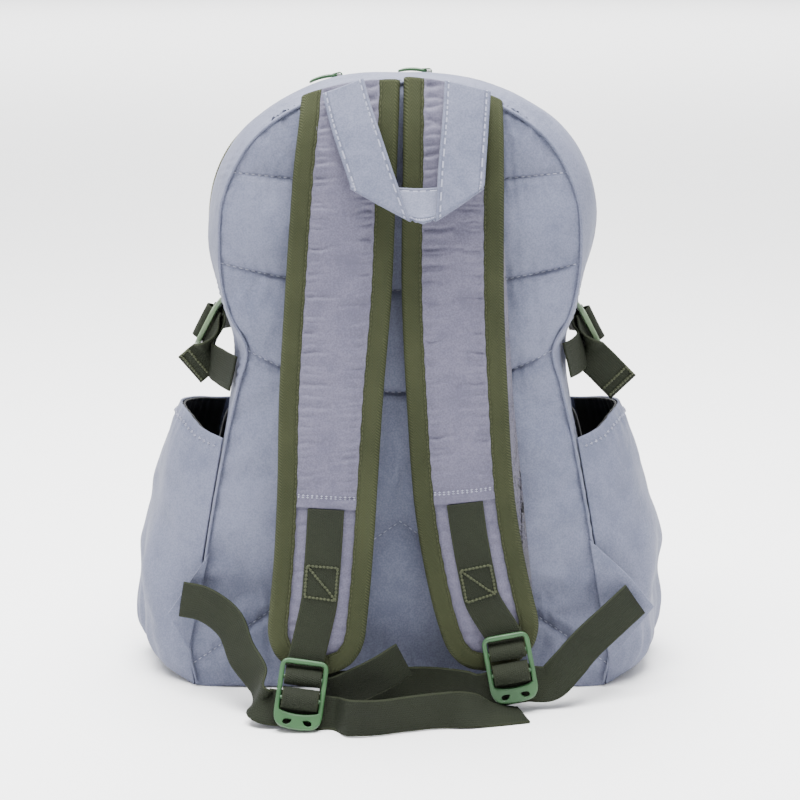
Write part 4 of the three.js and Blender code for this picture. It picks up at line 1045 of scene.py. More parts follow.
@dataclass(frozen=True)
class Gusset:
    """The cloth wall round the arch, in two halves, gathered along the back seam."""

    back_rings: tuple[tuple[float, float, float], ...] = (
        (-0.03, -0.09, 0.0),
        (0.08, 0.6, 0.0),
        (0.19, 0.95, 0.0),
        (0.32, 1.0, 0.004),
        (0.46, 1.0, 0.014),
    )
    front_rings: tuple[tuple[float, float, float], ...] = (
        (0.54, 1.0, 0.022),
        (0.72, 0.9, 0.055),
        (0.93, 0.45, 0.108),
        (1.006, -0.06, 0.129),
    )
    arch_length: float = 1150.0
    gather: float = 1.9
    gather_reach: float = 15.0
    fold: float = 2.6
    waist_height: float = 0.56
    waist_reach: float = 0.035
    near: float = 0.002

    def opening(self, place: float) -> float:
        """How far the zip slot is open at a place round the arch."""
        return smooth(min(place, 1 - place), BAG.zip_first - BAG.zip_fade, BAG.zip_first)

    def bumps(self, place: float, deep: float, point: Vector) -> float:
        """How far gathers, dents and folds lift the cloth outwards, in millimetres."""
        along = place * self.arch_length
        from_seam = deep * BAG.depth
        edge = smooth(from_seam, -1.8, 5.0)
        patches = 0.14 + 1.5 * max(noise.noise(Vector((along / 48.0, 4.4, 0.0))) - 0.05, 0.0)
        gathers = ripple(along + from_seam * 0.3, 8.5, 1.0) * self.gather * patches
        gathers *= math.exp(-max(from_seam, 0.0) / self.gather_reach)
        broad = cloud(point, 58.0, 2.0) * 1.9 + cloud(point, 24.0, 5.0) * 0.7
        low = point.z / BAG.height
        waist = bell(low, self.waist_height, self.waist_reach) * self.fold * smooth(from_seam, 3.0, 20.0)
        crease = math.sin(from_seam * 0.16 + low * 40.0) * waist * 0.5
        return (gathers + broad * smooth(from_seam, 4.0, 24.0) - waist + crease) * edge

    def surface(self, rings: Sequence[tuple[float, float, float]], back: bool) -> LatticePlace:
        """Place of the cloth for a place round the arch and a row of the rings."""

        @lru_cache(maxsize=600)
        def profile(place: float) -> Profile:
            """Rings at a place, with the slot's edge where the zip is."""
            half = (BAG.zip_slot / 2 * self.opening(place) + BAG.seam_gap / 2) / BAG.depth
            rows = [list(ring) for ring in rings]
            lean = zip_lean(place)
            centre = 0.5 - ZIP_SHIFT * lean
            if back:
                rows[1][1] -= 0.3 * lean
                rows[2][1] -= 0.35 * lean
                rows[3][0], rows[3][1] = mix(rows[3][0], 0.3, lean), rows[3][1] - 0.24 * lean
                rows[-1][0], rows[-1][1] = centre - half, 1.0 - 0.14 * lean
            else:
                rows[0][0], rows[0][1] = centre + half, 1.0 - 0.04 * lean
                rows[1][1] += 0.08 * lean
            return Profile(rows)

        def lay(place: float, row: float) -> Vector:
            """Point of the cloth."""
            deep, bulge, drop = profile(place).at(row)
            point = SHAPE.point(place, deep, bulge, drop)
            ahead = SHAPE.point(min(place + self.near, 1.0), deep, bulge, drop)
            behind = SHAPE.point(max(place - self.near, 0.0), deep, bulge, drop)
            along = (ahead - behind).normalized()
            out = Vector((-along.z, 0.0, along.x))
            from_slot = abs(deep - 0.5) * BAG.depth
            free = smooth(from_slot, 6.0, 26.0) if self.opening(place) > 0.01 else 1.0
            from_floor = smooth(point.z, BAG.base_top, BAG.base_top + 18.0)
            lift = self.bumps(place, deep, point) * mix(0.25, 1.0, free) * mix(0.1, 1.0, from_floor)
            return point + out * lift

        return lay

    def build(self) -> None:
        """Both halves."""
        surface = self.surface(self.back_rings, True)
        stretch = (self.arch_length, 70.0)
        back = lattice(spread(0.0, 1.0, 420), spread(0.0, 1.0, 42), surface, stretch, away_from_middle)
        made = WARDROBE.piece("back_gusset_cloth", back, [NYLON], "nylon", ["back_gusset"], wall=BAG.gusset)
        sewn(made, 75.0, self.arch_length, "back_panel_cloth")
        surface = self.surface(self.front_rings, False)
        stretch = (self.arch_length, 75.0)
        front = lattice(spread(0.0, 1.0, 260), spread(0.0, 1.0, 30), surface, stretch, away_from_middle)
        made = WARDROBE.piece("front_gusset_cloth", front, [NYLON], "nylon", ["front_gusset"], wall=BAG.gusset)
        sewn(made, 75.0, self.arch_length, "base_cloth")


class QuiltRow(NamedTuple):
    """Row of the back panel: height at its edge and middle, how it bends, and its padding."""

    side: float
    middle: float
    bend: float
    pad: float


QUILT = (
    QuiltRow(0.0, 0.0, 1.0, 0.05),
    QuiltRow(0.012, 0.1, 1.0, 0.5),
    QuiltRow(0.022, 0.25, 1.0, 0.62),
    QuiltRow(0.03, 0.276, 1.0, 0.12),
    QuiltRow(0.045, 0.3, 1.0, 0.66),
    QuiltRow(0.2, 0.35, 1.0, 0.95),
    QuiltRow(0.4, 0.42, 0.6, 0.95),
    QuiltRow(0.545, 0.478, 0.5, 0.72),
    QuiltRow(0.563, 0.492, 0.5, 0.12),
    QuiltRow(0.58, 0.506, 0.5, 0.72),
    QuiltRow(0.64, 0.585, 0.5, 0.95),
    QuiltRow(0.69, 0.645, 0.6, 0.7),
    QuiltRow(0.703, 0.658, 0.6, 0.12),
    QuiltRow(0.716, 0.671, 0.6, 0.7),
    QuiltRow(0.78, 0.745, 0.7, 0.95),
    QuiltRow(0.835, 0.812, 0.8, 0.66),
    QuiltRow(0.847, 0.825, 0.8, 0.12),
    QuiltRow(0.859, 0.84, 0.8, 0.6),
    QuiltRow(0.9, 0.915, 1.0, 0.6),
    QuiltRow(0.93, 0.989, 2.0, 0.05),
)
QUILT_SEAMS = (0, 3, 8, 12, 16, 19)


@dataclass(frozen=True)
class QuiltedBack:
    """The padded panel that rests on the wearer, quilted by four seams and puckered along them."""

    columns: int = 150
    pucker: float = 1.9
    frames: int = 16
    pressure: float = 2.0
    slack: float = 0.012
    swell: float = 3.5
    wall: float = 1.5

    def rows(self) -> list[float]:
        """Places of the rows: closer together beside a seam."""
        places: list[float] = []
        for number in range(len(QUILT) - 1):
            steps = {True: 4, False: 12}[number in (2, 3, 7, 8, 11, 12, 15, 16)]
            steps = 16 if number in (4, 5) else steps
            places += [number + step / steps for step in range(steps)]
        return places + [float(len(QUILT) - 1)]

    @lru_cache(maxsize=1000)
    def line(self, row: float) -> tuple[float, float, float, float, float]:
        """Edge place, edge height, middle height, bend and padding of a row."""
        low = min(int(row), len(QUILT) - 2)
        share = row - low
        first, second = QUILT[low], QUILT[low + 1]
        span = BAG.height - BAG.base_top
        side = BAG.base_top + mix(first.side, second.side, share) * span
        middle = BAG.base_top + mix(first.middle, second.middle, share) * span
        if low in QUILT_SEAMS:
            share_pad = share**0.5
        elif low + 1 in QUILT_SEAMS:
            share_pad = 1 - (1 - share) ** 0.5
        else:
            share_pad = smooth(share, 0.0, 1.0)
        pad = mix(first.pad, second.pad, share_pad)
        edge = SHAPE.point(SHAPE.place_at(side), 0.0, 0.0, 0.0)
        return abs(edge.x), edge.z, middle, mix(first.bend, second.bend, share), pad

    def lay(self, across: float, row: float) -> Vector:
        """Point of the panel's cloth."""
        edge_x, edge_z, middle, bend, pad = self.line(row)
        eased = crowded(across)
        x = eased * edge_x
        z = middle + (edge_z - middle) * abs(eased) ** (1 / bend)
        last = smooth(row, len(QUILT) - 2.0, len(QUILT) - 1.0)
        if last > 0:
            z = mix(z, SHAPE.arch_height(round(abs(x), 3), 0.0), last**2)
        fade = max(1 - abs(eased) ** 10, 0.02) * (1 - 0.9 * smooth(last, 0.55, 1.0))
        near = min(abs(row - seam) for seam in QUILT_SEAMS)
        ripples = ripple(x + z * 0.12, 8.5, round(row / 4)) * self.pucker * math.exp(-near * 1.6)
        dents = cloud(Vector((x, 0.0, z)), 42.0, 3.0) * 2.2 + cloud(Vector((x * 1.6, 0.0, z)), 17.0, 8.0) * 0.9
        height = BAG.pad * pad * fade + (ripples + dents) * fade * smooth(pad, 0.1, 0.7)
        hem = 1 - smooth(row, 0.0, 0.8)
        deep = BAG.face - BAG.backing * 0.2 - height - 3.0 * hem * (1 - abs(eased) ** 6)
        return Vector((x, deep, z - 2.6 * hem))

    def build(self) -> None:
        """The panel, swollen between its seams."""
        places = self.rows()
        mesh = lattice(spread(-1.0, 1.0, self.columns), places, self.lay, (140.0, 20.0), towards_wearer)
        made = WARDROBE.piece("back_panel_cloth", mesh, [NYLON], "nylon", ["back_panel"])
        width = self.columns + 1
        pins: dict[int, float] = {}
        for number, row in enumerate(places):
            near = min(abs(row - seam) for seam in QUILT_SEAMS)
            for column in range(width):
                if near < 0.01 or column in (0, width - 1):
                    pins[number * width + column] = 1.0
        relax(made, pins, self.frames, self.pressure, self.slack, self.swell)
        shell = made.modifiers.new("Wall", "SOLIDIFY")
        shell.thickness = self.wall * MM
        shell.offset = -1.0
        self.sew()

    def sew(self) -> None:
        """The thread along the four quilted seams."""
        thread = bmesh.new()
        for seam in QUILT_SEAMS[1:-1]:
            places = [self.lay(across, seam) for across in spread(-0.985, 0.985, 300)]
            out = Vector((0.0, -1.0, 0.0))
            add_stitches(thread, [(place + out * 0.5, out) for place in places], 4.4, 0.7, 0.42)
        for face in thread.faces:
            face.material_index = 0
        WARDROBE.piece("back_panel_thread", thread, [THREAD], "nylon")


@dataclass(frozen=True)
class PlainPanels:
    """The front of the bag, puffed a little, and its flat base."""

    puff: float = 14.0
    drop: float = 0.13

    def lay_front(self, across: float, up: float) -> Vector:
        """Point of the front's cloth, from the base to the arch."""
        side = BAG.base_top + 0.93 * up * (BAG.height - BAG.base_top)
        edge = SHAPE.point(SHAPE.place_at(round(side, 2)), 0.0, 0.0, self.drop)
        eased = crowded(across)
        x = eased * abs(edge.x)
        middle = BAG.base_top + 0.989 * up * (BAG.height - BAG.base_top)
        middle -= self.drop * BAG.height * (middle / BAG.height) ** 2
        z = mix(middle, edge.z, abs(eased) ** mix(1.0, 0.5, up))
        last = smooth(up, 0.85, 1.0)
        if last > 0:
            z = mix(z, SHAPE.arch_height(round(abs(x), 3), self.drop), last**2)
        bulge = self.puff * (1 - abs(eased) ** 3) * math.sin(math.pi * up) ** 0.5
        fade = (1 - abs(eased) ** 6) * smooth(up, 0.0, 0.08) * smooth(1 - up, 0.0, 0.08)
        dents = cloud(Vector((x, 3.0, z)), 60.0, 4.0) * 1.6 + cloud(Vector((x, 9.0, z)), 22.0, 6.0) * 0.5
        rim = ripple(z + x, 10.0, 4.0) * 0.9 * math.exp(-(1 - abs(eased)) * 9)
        return Vector((x, BAG.back_y + BAG.depth + 1.8 + bulge + (dents + rim) * fade, z))

    def build(self) -> None:
        """Front and base."""
        columns, rows = spread(-1.0, 1.0, 110), spread(0.0, 1.0, 150)
        front = lattice(columns, rows, self.lay_front, (140.0, 420.0), lambda _: Vector((0.0, 1.0, 0.0)))
        made = WARDROBE.piece("front_panel_cloth", front, [NYLON], "nylon", ["front_panel"], wall=1.7)
        sewn(made, 260.0, 390.0, "front_gusset_cloth")
        WARDROBE.rounded_node("base_cloth", "base_panel", NYLON, "nylon", 1.1)


@dataclass(frozen=True)
class SidePocket:
    """An open side pocket with a stitched rim, its folds and its lining, painted near-black as painted shade of its
    inside.
    """

    side: Side
    height: float = 196.0
    bulge: float = 46.0
    skin_gap: float = 0.9
    wall: float = 1.7
    flat: Flat = (200.0, 230.0)
    fold: float = 2.2
    floor: float = 0.6
    stitch_drop: float = 9.0
    stitch_row: float = 0.052
    crease: float = 2.6
    crease_height: float = 78.0
    crease_reach: float = 40.0
    rows: tuple[tuple[float, float], ...] = (
        (1.0, 0.78),
        (0.9, 0.87),
        (0.74, 0.94),
        (0.56, 0.99),
        (0.38, 0.98),
        (0.22, 0.92),
        (0.1, 0.8),
        (0.035, 0.58),
        (0.008, 0.3),
        (0.0, 0.04),
    )
    plan: tuple[tuple[float, float, float], ...] = (
        (0.03, 0.0, -0.07),
        (0.07, 0.42, -0.04),
        (0.17, 0.76, 0.0),
        (0.31, 0.96, 0.01),
        (0.47, 1.0, 0.0),
        (0.64, 0.93, -0.02),
        (0.79, 0.74, -0.04),
        (0.9, 0.42, -0.06),
        (0.955, 0.0, -0.07),
    )

    def station(self, along: float) -> list[float]:
        """Depth share, bulge and lift of a place along the rim; its ends run in under the seams."""
        deep, out, lift = Profile(self.plan).at(along)
        return [deep - 0.028 * (1 - smooth(along, 0.0, 0.12)) + 0.02 * smooth(along, 0.9, 1.0), out, lift]

    def lay(self, along: float, down: float, inset: float = 0.0, sink: float = 0.0) -> Vector:
        """Point of the pocket's cloth.

        Args:
            along: 0 at the back seam, 1 at the front one.
            down: 0 at the rim, 1 at the floor.
            inset: how far inside the outer face, in millimetres.
            sink: how far below its place, in millimetres.

        Returns:
            The point.
        """
        up_share, out_share = Profile(self.rows).at(down)
        deep, out, lift = self.station(along)
        out = max(out, 0.0)
        up = up_share + lift * smooth(up_share, 0.45, 1.0)
        height = max(up * self.height, self.floor)
        place = SHAPE.place_at(round(max(height, BAG.base_top), 1))
        skin = SHAPE.point(place, deep, 1.0, 0.0)
        fold = math.cos(deep * 19) * self.fold * smooth(1 - up_share, 0.1, 0.7) * out
        tucked = 1 - smooth(out, 0.0, 0.3)
        reach = self.skin_gap * (1 - 2.4 * tucked) + (self.bulge * out_share - fold) * out
        point = Vector((abs(skin.x) + reach, skin.y, height))
        free = smooth(out, 0.0, 0.5) * smooth(height, 2.0, 26.0)
        from_rim = max(self.height * (1 - up_share), 0.0)
        seed = 3.0 + self.side.sign
        gathers = ripple(deep * BAG.depth + height * 0.1, 9.0, seed)
        gathers *= math.exp(-abs(from_rim - self.stitch_drop) / 10) * 0.8
        gathers -= 0.5 * bell(from_rim, self.stitch_drop, 1.6)
        dents = cloud(point, 52.0, 9.0 + self.side.sign) * 5.2 + cloud(point, 21.0, 2.0) * 1.6
        slant = (height - deep * BAG.depth * 1.1) / 23.0
        slant += 2.4 * cloud(point, 60.0, seed)
        dents += self.crease * math.sin(slant) * bell(height, self.crease_height, self.crease_reach)
        low = ripple(deep * BAG.depth, 13.0, 6.0 + self.side.sign) * math.exp(-height / 26) * 3.0
        lift_out = (gathers + dents * smooth(from_rim, 8.0, 40.0) + low) * free - inset
        point.x += lift_out * smooth(out, 0.0, 0.35) if inset == 0.0 else lift_out
        point.z -= sink
        return Vector((point.x * self.side.sign, point.y, point.z))

    def lay_shade_sheet(self, along: float, down: float) -> Vector:
        """Point of the dark sheet that lies on the gusset behind the pocket's mouth, as painted shade."""
        deep, _, lift = self.station(along)
        height = self.height * mix(0.96 + lift, 0.35, down * 2)
        skin = SHAPE.point(SHAPE.place_at(round(height, 1)), deep, 1.0, 0.0)
        return Vector((self.side.sign * (abs(skin.x) + 1.8), skin.y, height))

    def facing(self, point: Vector) -> Vector:
        """Outwards from the pocket's own middle."""
        return point - Vector((0.14 * self.side.sign, (BAG.back_y + 75.0 + SHIFT_Y) * MM, 0.1))

    def build(self) -> None:
        """Wall with its stitched rim, and lining, with a dark sheet of painted shade on the gusset behind the mouth.
        """
        name = self.side.value
        wall = lattice(spread(0.0, 1.0, 110), spread(0.0, 1.0, 120), self.lay, self.flat, self.facing)
        path = []
        for along in spread(0.03, 0.97, 220):
            here = self.lay(along, self.stitch_row)
            rough = Vector((self.side.sign * 0.8, (self.station(along)[0] - 0.5) * 1.6, 0.1))
            out = normal_of(self.lay, along, self.stitch_row, (0.004, 0.004), rough)
            path.append((here + out * 0.3, out))
        add_stitches(wall, path, 4.4)
        made = WARDROBE.piece(
            f"side_pocket_cloth_{name}", wall, [NYLON, THREAD], "nylon", [f"side_pocket_{name}"], wall=self.wall
        )
        sewn(made, *self.flat, "back_gusset_cloth", "gathered")
        inner = lattice(
            spread(0.08, 0.92, 60),
            spread(0.0, 0.5, 50),
            lambda along, down: self.lay(along, down, 2.6, 1.2 * (1 - smooth(down, 0.0, 0.1))),
            self.flat,
            self.facing,
        )
        # A dark sheet on the gusset behind the mouth, as painted shade; it shares the lining's near-black colour.
        inner = gather(inner, lattice(spread(0.1, 0.9, 50), spread(0.0, 0.5, 40), self.lay_shade_sheet, self.flat))
        made = WARDROBE.piece(
            f"pocket_lining_and_shade_cloth_{name}", inner, [LINING_PAINTED_SHADE], "lining", [f"pocket_lining_{name}"], wall=1.0
        )
        sewn(made, *self.flat, f"side_pocket_cloth_{name}")


class RouteRow(NamedTuple):
    """Row of a strap's route: across in shares of the half width, standing in shares of the depth."""

    x: float
    stand: float
    z: float
    wide: float = 1.0


STRAP_ROUTES = {
    Side.LEFT: (
        RouteRow(-0.243, 0.057, 0.972, 0.96),
        RouteRow(-0.252, 0.105, 0.925, 0.97),
        RouteRow(-0.27, 0.148, 0.85, 1.0),
        RouteRow(-0.305, 0.195, 0.665, 1.04),
        RouteRow(-0.342, 0.25, 0.505, 1.02),
        RouteRow(-0.364, 0.305, 0.35, 0.98),
        RouteRow(-0.386, 0.352, 0.24, 0.97),
        RouteRow(-0.415, 0.384, 0.145, 0.97),
        RouteRow(-0.442, 0.4, 0.075, 0.96),
    ),
    Side.RIGHT: (
        RouteRow(0.262, 0.057, 0.972, 0.96),
        RouteRow(0.262, 0.105, 0.925, 0.97),
        RouteRow(0.262, 0.145, 0.85, 0.98),
        RouteRow(0.262, 0.17, 0.665, 1.0),
        RouteRow(0.285, 0.195, 0.505, 1.0),
        RouteRow(0.33, 0.21, 0.32, 1.0),
        RouteRow(0.405, 0.225, 0.19, 1.0),
        RouteRow(0.47, 0.23, 0.115, 0.98),
        RouteRow(0.52, 0.232, 0.065, 0.95),
    ),
}


def route_point(x: float, stand: float, height: float) -> Vector:
    """Point of a route from its shares and its height in millimetres."""
    return Vector((x * BAG.half, BAG.back_y - stand * BAG.depth, height))


@dataclass(frozen=True)
class StrapFrame:
    """Where a strap is at a distance from its root, and which way it faces."""

    centre: Vector
    along: Vector
    across: Vector
    out: Vector
    half: float

    def at(self, sideways: float, outwards: float) -> Vector:
        """Point beside the centre line."""
        return self.centre + self.across * sideways + self.out * outwards


@dataclass(frozen=True)
class ShoulderStrap:
    """A padded strap: pad, cover to the hem, and binding folded over its edge."""

    side: Side
    width: float = 66.0
    edge: float = 6.4
    puff: float = 1.9
    binding: float = 12.0
    end_round: float = 34.0
    end_power: float = 2.6
    end_ease: float = 0.5
    cover_lift: float = 1.35
    binding_stitch: float = 10.4
    binding_lift: float = 1.0
    fold_start: float = 1.5
    root_ease: float = 60.0
    root_tuck: float = 5.0
    tuck_reach: float = 34.0

    @property
    def hem(self) -> float:
        """Where the cover ends, as a share of the length."""
        return 0.715 if self.side is Side.LEFT else 0.7

    @lru_cache(maxsize=4)
    def spines(self) -> tuple[Spine, Spine]:
        """Centre line, and widths along it."""
        rows = STRAP_ROUTES[self.side]
        centre = Spine([route_point(row.x, row.stand, row.z * BAG.height) for row in rows])
        return centre, Spine([Vector((row.wide, 0.0, 0.0)) for row in rows])

    @property
    def length(self) -> float:
        """Length of the strap."""
        return self.spines()[0].length

    @lru_cache(maxsize=3000)
    def frame(self, distance: float) -> StrapFrame:
        """Frame at a distance from the root."""
        centre, widths = self.spines()
        t = centre.t_at(distance)
        along = centre.tangent(t)
        across = Vector((1.0, 0.0, 0.0))
        across = (across - along * across.dot(along)).normalized()
        out = along.cross(across).normalized()
        if out.y > 0:
            out = -out
        from_end = centre.length - distance
        tight = max((self.end_round - from_end) / self.end_round, 0.0)
        shape = max(1 - min(tight, 1.0) ** self.end_power, 0.0) ** (1 / self.end_power)
        return StrapFrame(centre.at(t), along, across, out, self.width / 2 * widths.at(t).x * max(shape, 0.4))

    def pad_height(self, from_edge: float, distance: float) -> float:
        """Half thickness of the pad."""
        inner = smooth(from_edge, self.binding, self.binding + 9)
        rounded = smooth(from_edge, -0.5, 2.2)
        return (self.edge / 2 - 0.25) * mix(0.35, 1.0, rounded) + self.puff * inner * smooth(distance, 6, 40)

    def puckers(self, from_edge: float, distance: float, layer: float, depth: float) -> float:
        """Creases that run in from the stitched binding, each with its own reach, over soft ripples."""
        inward = max(from_edge - self.binding, 0.0)
        found = ripple(distance, 17.0, layer + 4.0) * 0.35
        found += ripple(distance, 8.0, layer) * 0.3 * math.exp(-inward / 9.0)
        for spacing, deep, wide in ((7.0, 1.15, 1.0), (19.0, 1.6, 1.7)):
            lean = (distance + inward * 0.16 * math.sin(layer)) / spacing
            for cell in (math.floor(lean) - 1, math.floor(lean), math.floor(lean) + 1):
                spot = Vector((cell * 3.17, layer * 5.3, spacing))
                offset = noise.noise(spot) * 0.9 + 0.5
                reach = 9.0 + 16.0 * abs(noise.noise(spot * 1.7)) * spacing / 9.0
                bend = noise.noise(Vector((inward / 9.0, cell * 1.9, layer))) * 1.6
                gap = (lean - cell - offset) * spacing + bend
                crease = 0.5 * bell(gap, 2.2, 2.4) - bell(gap, 0.0, wide)
                found += deep * crease * bell(inward, 0.0, reach)
        return found * depth * smooth(from_edge, self.binding - 0.5, self.binding + 3.5)

    def settle(self, point: Vector, distance: float) -> Vector:
        """Move a point near the root up or down to the arch's seam, and in under it."""
        if distance > self.root_ease:
            return point
        share = (1 - distance / self.root_ease) ** 2
        root = self.frame(0.0).centre.z
        point.z += (SHAPE.arch_height(round(abs(point.x), 1), 0.0) + 1.5 - root) * share
        point.y += self.root_tuck * (1 - min(distance / self.tuck_reach, 1.0)) ** 2
        return point

    def lay_pad(self, around: float, distance: float) -> Vector:
        """Point of the pad; around runs 0 to 1 over the outer face and 1 to 2 back over the inner one."""
        spot = self.frame(distance)
        share = 1 - 2 * around if around <= 1 else 2 * around - 3
        sign = 1 if around <= 1 else -1
        from_edge = min(spot.half * (1 - abs(share)), self.length - distance)
        high = self.pad_height(from_edge, distance)
        lump = self.puckers(from_edge, distance, 2.0 + sign + self.side.sign, 0.5)
        return self.settle(spot.at(share * spot.half, sign * (high + lump)), distance)

    def lay_cover(self, across: float, distance: float) -> Vector:
        """Point of the cover cloth, which tucks under the binding."""
        spot = self.frame(distance)
        half = spot.half - self.binding + 1.2
        from_edge = spot.half - abs(across) * half
        layer = 11.0 + self.side.sign + (1.0 if across > 0 else 3.0)
        to_hem = self.hem * self.length - distance
        lump = self.puckers(from_edge, distance, layer, 0.8) * smooth(to_hem, 0.0, 9.0)
        dent = cloud(spot.centre + Vector((across * 20, 0, 0)), 26.0, 3.0) * 0.6
        lump += dent * smooth(from_edge, self.binding, 24.0)
        high = self.pad_height(from_edge, distance) + self.cover_lift + lump
        high -= 0.5 * bell(to_hem, 8.0, 2.2)
        return self.settle(spot.at(across * half, high), distance)

    @lru_cache(maxsize=2)
    def edge_path(self) -> Spine:
        """The strap's edge, down its left side, round its end and up its right side."""
        count = 90
        stations = [self.length * min(1.0, number / count) for number in range(count)]
        tail = [self.length - self.end_round * share for share in (0.3, 0.2, 0.12, 0.06, 0.02)]
        stations = [s for s in stations if s < self.length - self.end_round * 0.4] + tail
        left = [self.frame(round(s, 3)) for s in stations]
        right = [spot.at(spot.half, 0.0) for spot in reversed(left)]
        return Spine([spot.at(-spot.half, 0.0) for spot in left] + right)

    def lay_binding(self, around: float, walk: float) -> Vector:
        """Point of the binding: around goes over the edge from the outer face to the inner one."""
        path = self.edge_path()
        t = path.t_at(walk)
        point = path.at(t)
        along = path.tangent(t)
        distance = walk if walk < path.length / 2 else path.length - walk
        spot = self.frame(round(min(distance, self.length), 2))
        inward = spot.out.cross(along).normalized()
        middle = self.frame(round(max(min(distance, self.length - self.end_round), 0.0), 2)).centre
        if inward.dot(middle - point) < 0:
            inward = -inward
        ending = smooth(distance, self.length - 2 * self.end_round, self.length - self.end_round)
        tall = self.edge / 2 + 0.45 + self.end_ease * ending
        wobble = ripple(walk, 13.0, 6.0 + self.side.sign) * 0.12
        if around < 1:
            deep = mix(self.binding + wobble * 2, self.fold_start, around)
            high = tall + self.binding_lift + wobble * 0.5
            high -= 0.75 * bell(deep, self.binding_stitch, 1.1) + 0.5 * smooth(deep, 10.8, self.binding)
        elif around > 2:
            deep, high = mix(self.fold_start, self.binding, around - 2), -tall - self.binding_lift
        else:
            angle = math.pi * (around - 1)
            deep = self.fold_start - math.sin(angle) * 2 * self.fold_start
            high = math.cos(angle) * (tall + self.binding_lift)
        return self.settle(point + inward * deep + spot.out * high, distance)

    def build(self) -> None:
        """Pad, cover and binding."""
        name = self.side.value
        rows = spread(0.0, self.length - 1.0, 260)
        pad = lattice(spread(0.0, 2.0, 72), rows, self.lay_pad, (66.0, 1.0))
        bmesh.ops.remove_doubles(pad, verts=pad.verts[:], dist=2e-5)
        bmesh.ops.holes_fill(pad, edges=[edge for edge in pad.edges if edge.is_boundary], sides=0)
        bmesh.ops.recalc_face_normals(pad, faces=pad.faces[:])
        made = WARDROBE.piece(f"strap_pad_cloth_{name}", pad, [STRAP_NYLON], "strap_nylon", [f"strap_pad_{name}"])
        hem = self.hem * self.length
        cover = lattice(spread(-1.0, 1.0, 48), spread(0.0, hem, 450), self.lay_cover, (21.0, 1.0), towards_wearer)
        for drop in (7.2, 8.6):
            out = self.frame(round(hem - drop, 2)).out
            places = [self.lay_cover(across, hem - drop) for across in spread(-0.96, 0.96, 40)]
            add_stitches(cover, [(place + out * 0.15, out) for place in places], 3.2, 0.66, 0.32)
        finishes = [STRAP_NYLON, THREAD]
        made = WARDROBE.piece(
            f"strap_cover_cloth_{name}", cover, finishes, "strap_nylon", [f"strap_cover_{name}"], wall=1.0
        )
        sewn(made, self.width - 2 * self.binding + 2.4, hem, f"strap_pad_cloth_{name}")
        path = self.edge_path()
        binding = lattice(spread(0.0, 3.0, 30), spread(0.0, path.length, 520), self.lay_binding)
        self.unroll(binding, path.length)
        nodes = [f"strap_binding_{name}"]
        made = WARDROBE.piece(
            f"strap_binding_tape_{name}", binding, [BINDING], "binding", nodes, wall=0.8, offset=0.0
        )
        sewn(made, 2 * self.binding + 7.0, path.length, f"strap_pad_cloth_{name}", "folded")

    def unroll(self, mesh: bmesh.types.BMesh, length: float) -> None:
        """Set the binding's UV map to millimetres along the tape, and across it from its middle."""
        layer = mesh.loops.layers.uv["UVMap"]
        for face in mesh.faces:
            for loop in face.loops:
                around, walk = loop[layer].uv
                if around < 1:
                    across = -mix(self.binding, self.fold_start, around)
                elif around > 2:
                    across = mix(self.fold_start, self.binding, around - 2)
                else:
                    across = (around - 1.5) * 2 * self.fold_start
                loop[layer].uv = (walk, across)


class Hold(Enum):
    """What a row of a strip is placed by."""

    FLOOR = "floor"
    BAG = "bag"
    BUCKLE = "buckle"


class StripRow(NamedTuple):
    """Row of a strip's route.

    On the floor and the bag: across, stand and height, then the direction across the strip. In a buckle's
    frame: aside, down and out as shares of its length, then 1 or -1 where the strip lies level in the frame.
    """

    hold: Hold
    a: float
    b: float
    c: float
    across: tuple[float, float, float] | float = 0.0


def floor_row(x: float, stand: float, rise: float, ax: float, ay: float, az: float) -> StripRow:
    """Row whose height is in webbing widths."""
    return StripRow(Hold.FLOOR, x, stand, rise, (ax, ay, az))


def bag_row(x: float, stand: float, z: float, ax: float, ay: float, az: float) -> StripRow:
    """Row whose height is a share of the bag's."""
    return StripRow(Hold.BAG, x, stand, z, (ax, ay, az))


def buckle_row(aside: float, down: float, out: float, level: float = 0.0) -> StripRow:
    """Row in the buckle's frame."""
    return StripRow(Hold.BUCKLE, aside, down, out, level)


@dataclass(frozen=True)
class BuckleFrame:
    """Axes and middle of a ladder buckle."""

    x: float
    stand: float
    z: float
    down_hint: tuple[float, float, float]
    across_hint: tuple[float, float, float]
    length: float = 48.0

    @property
    def down(self) -> Vector:
        """Down the buckle."""
        return Vector(self.down_hint).normalized()

    @property
    def across(self) -> Vector:
        """Across the buckle."""
        hint = Vector(self.across_hint)
        return (hint - self.down * hint.dot(self.down)).normalized()

    @property
    def out(self) -> Vector:
        """Out of the buckle's face."""
        return self.down.cross(self.across).normalized()

    def at(self, aside: float, down: float, out: float) -> Vector:
        """Point in shares of the length."""
        middle = route_point(self.x, self.stand, self.z * BAG.height)
        return middle + (self.across * aside + self.down * down + self.out * out) * self.length


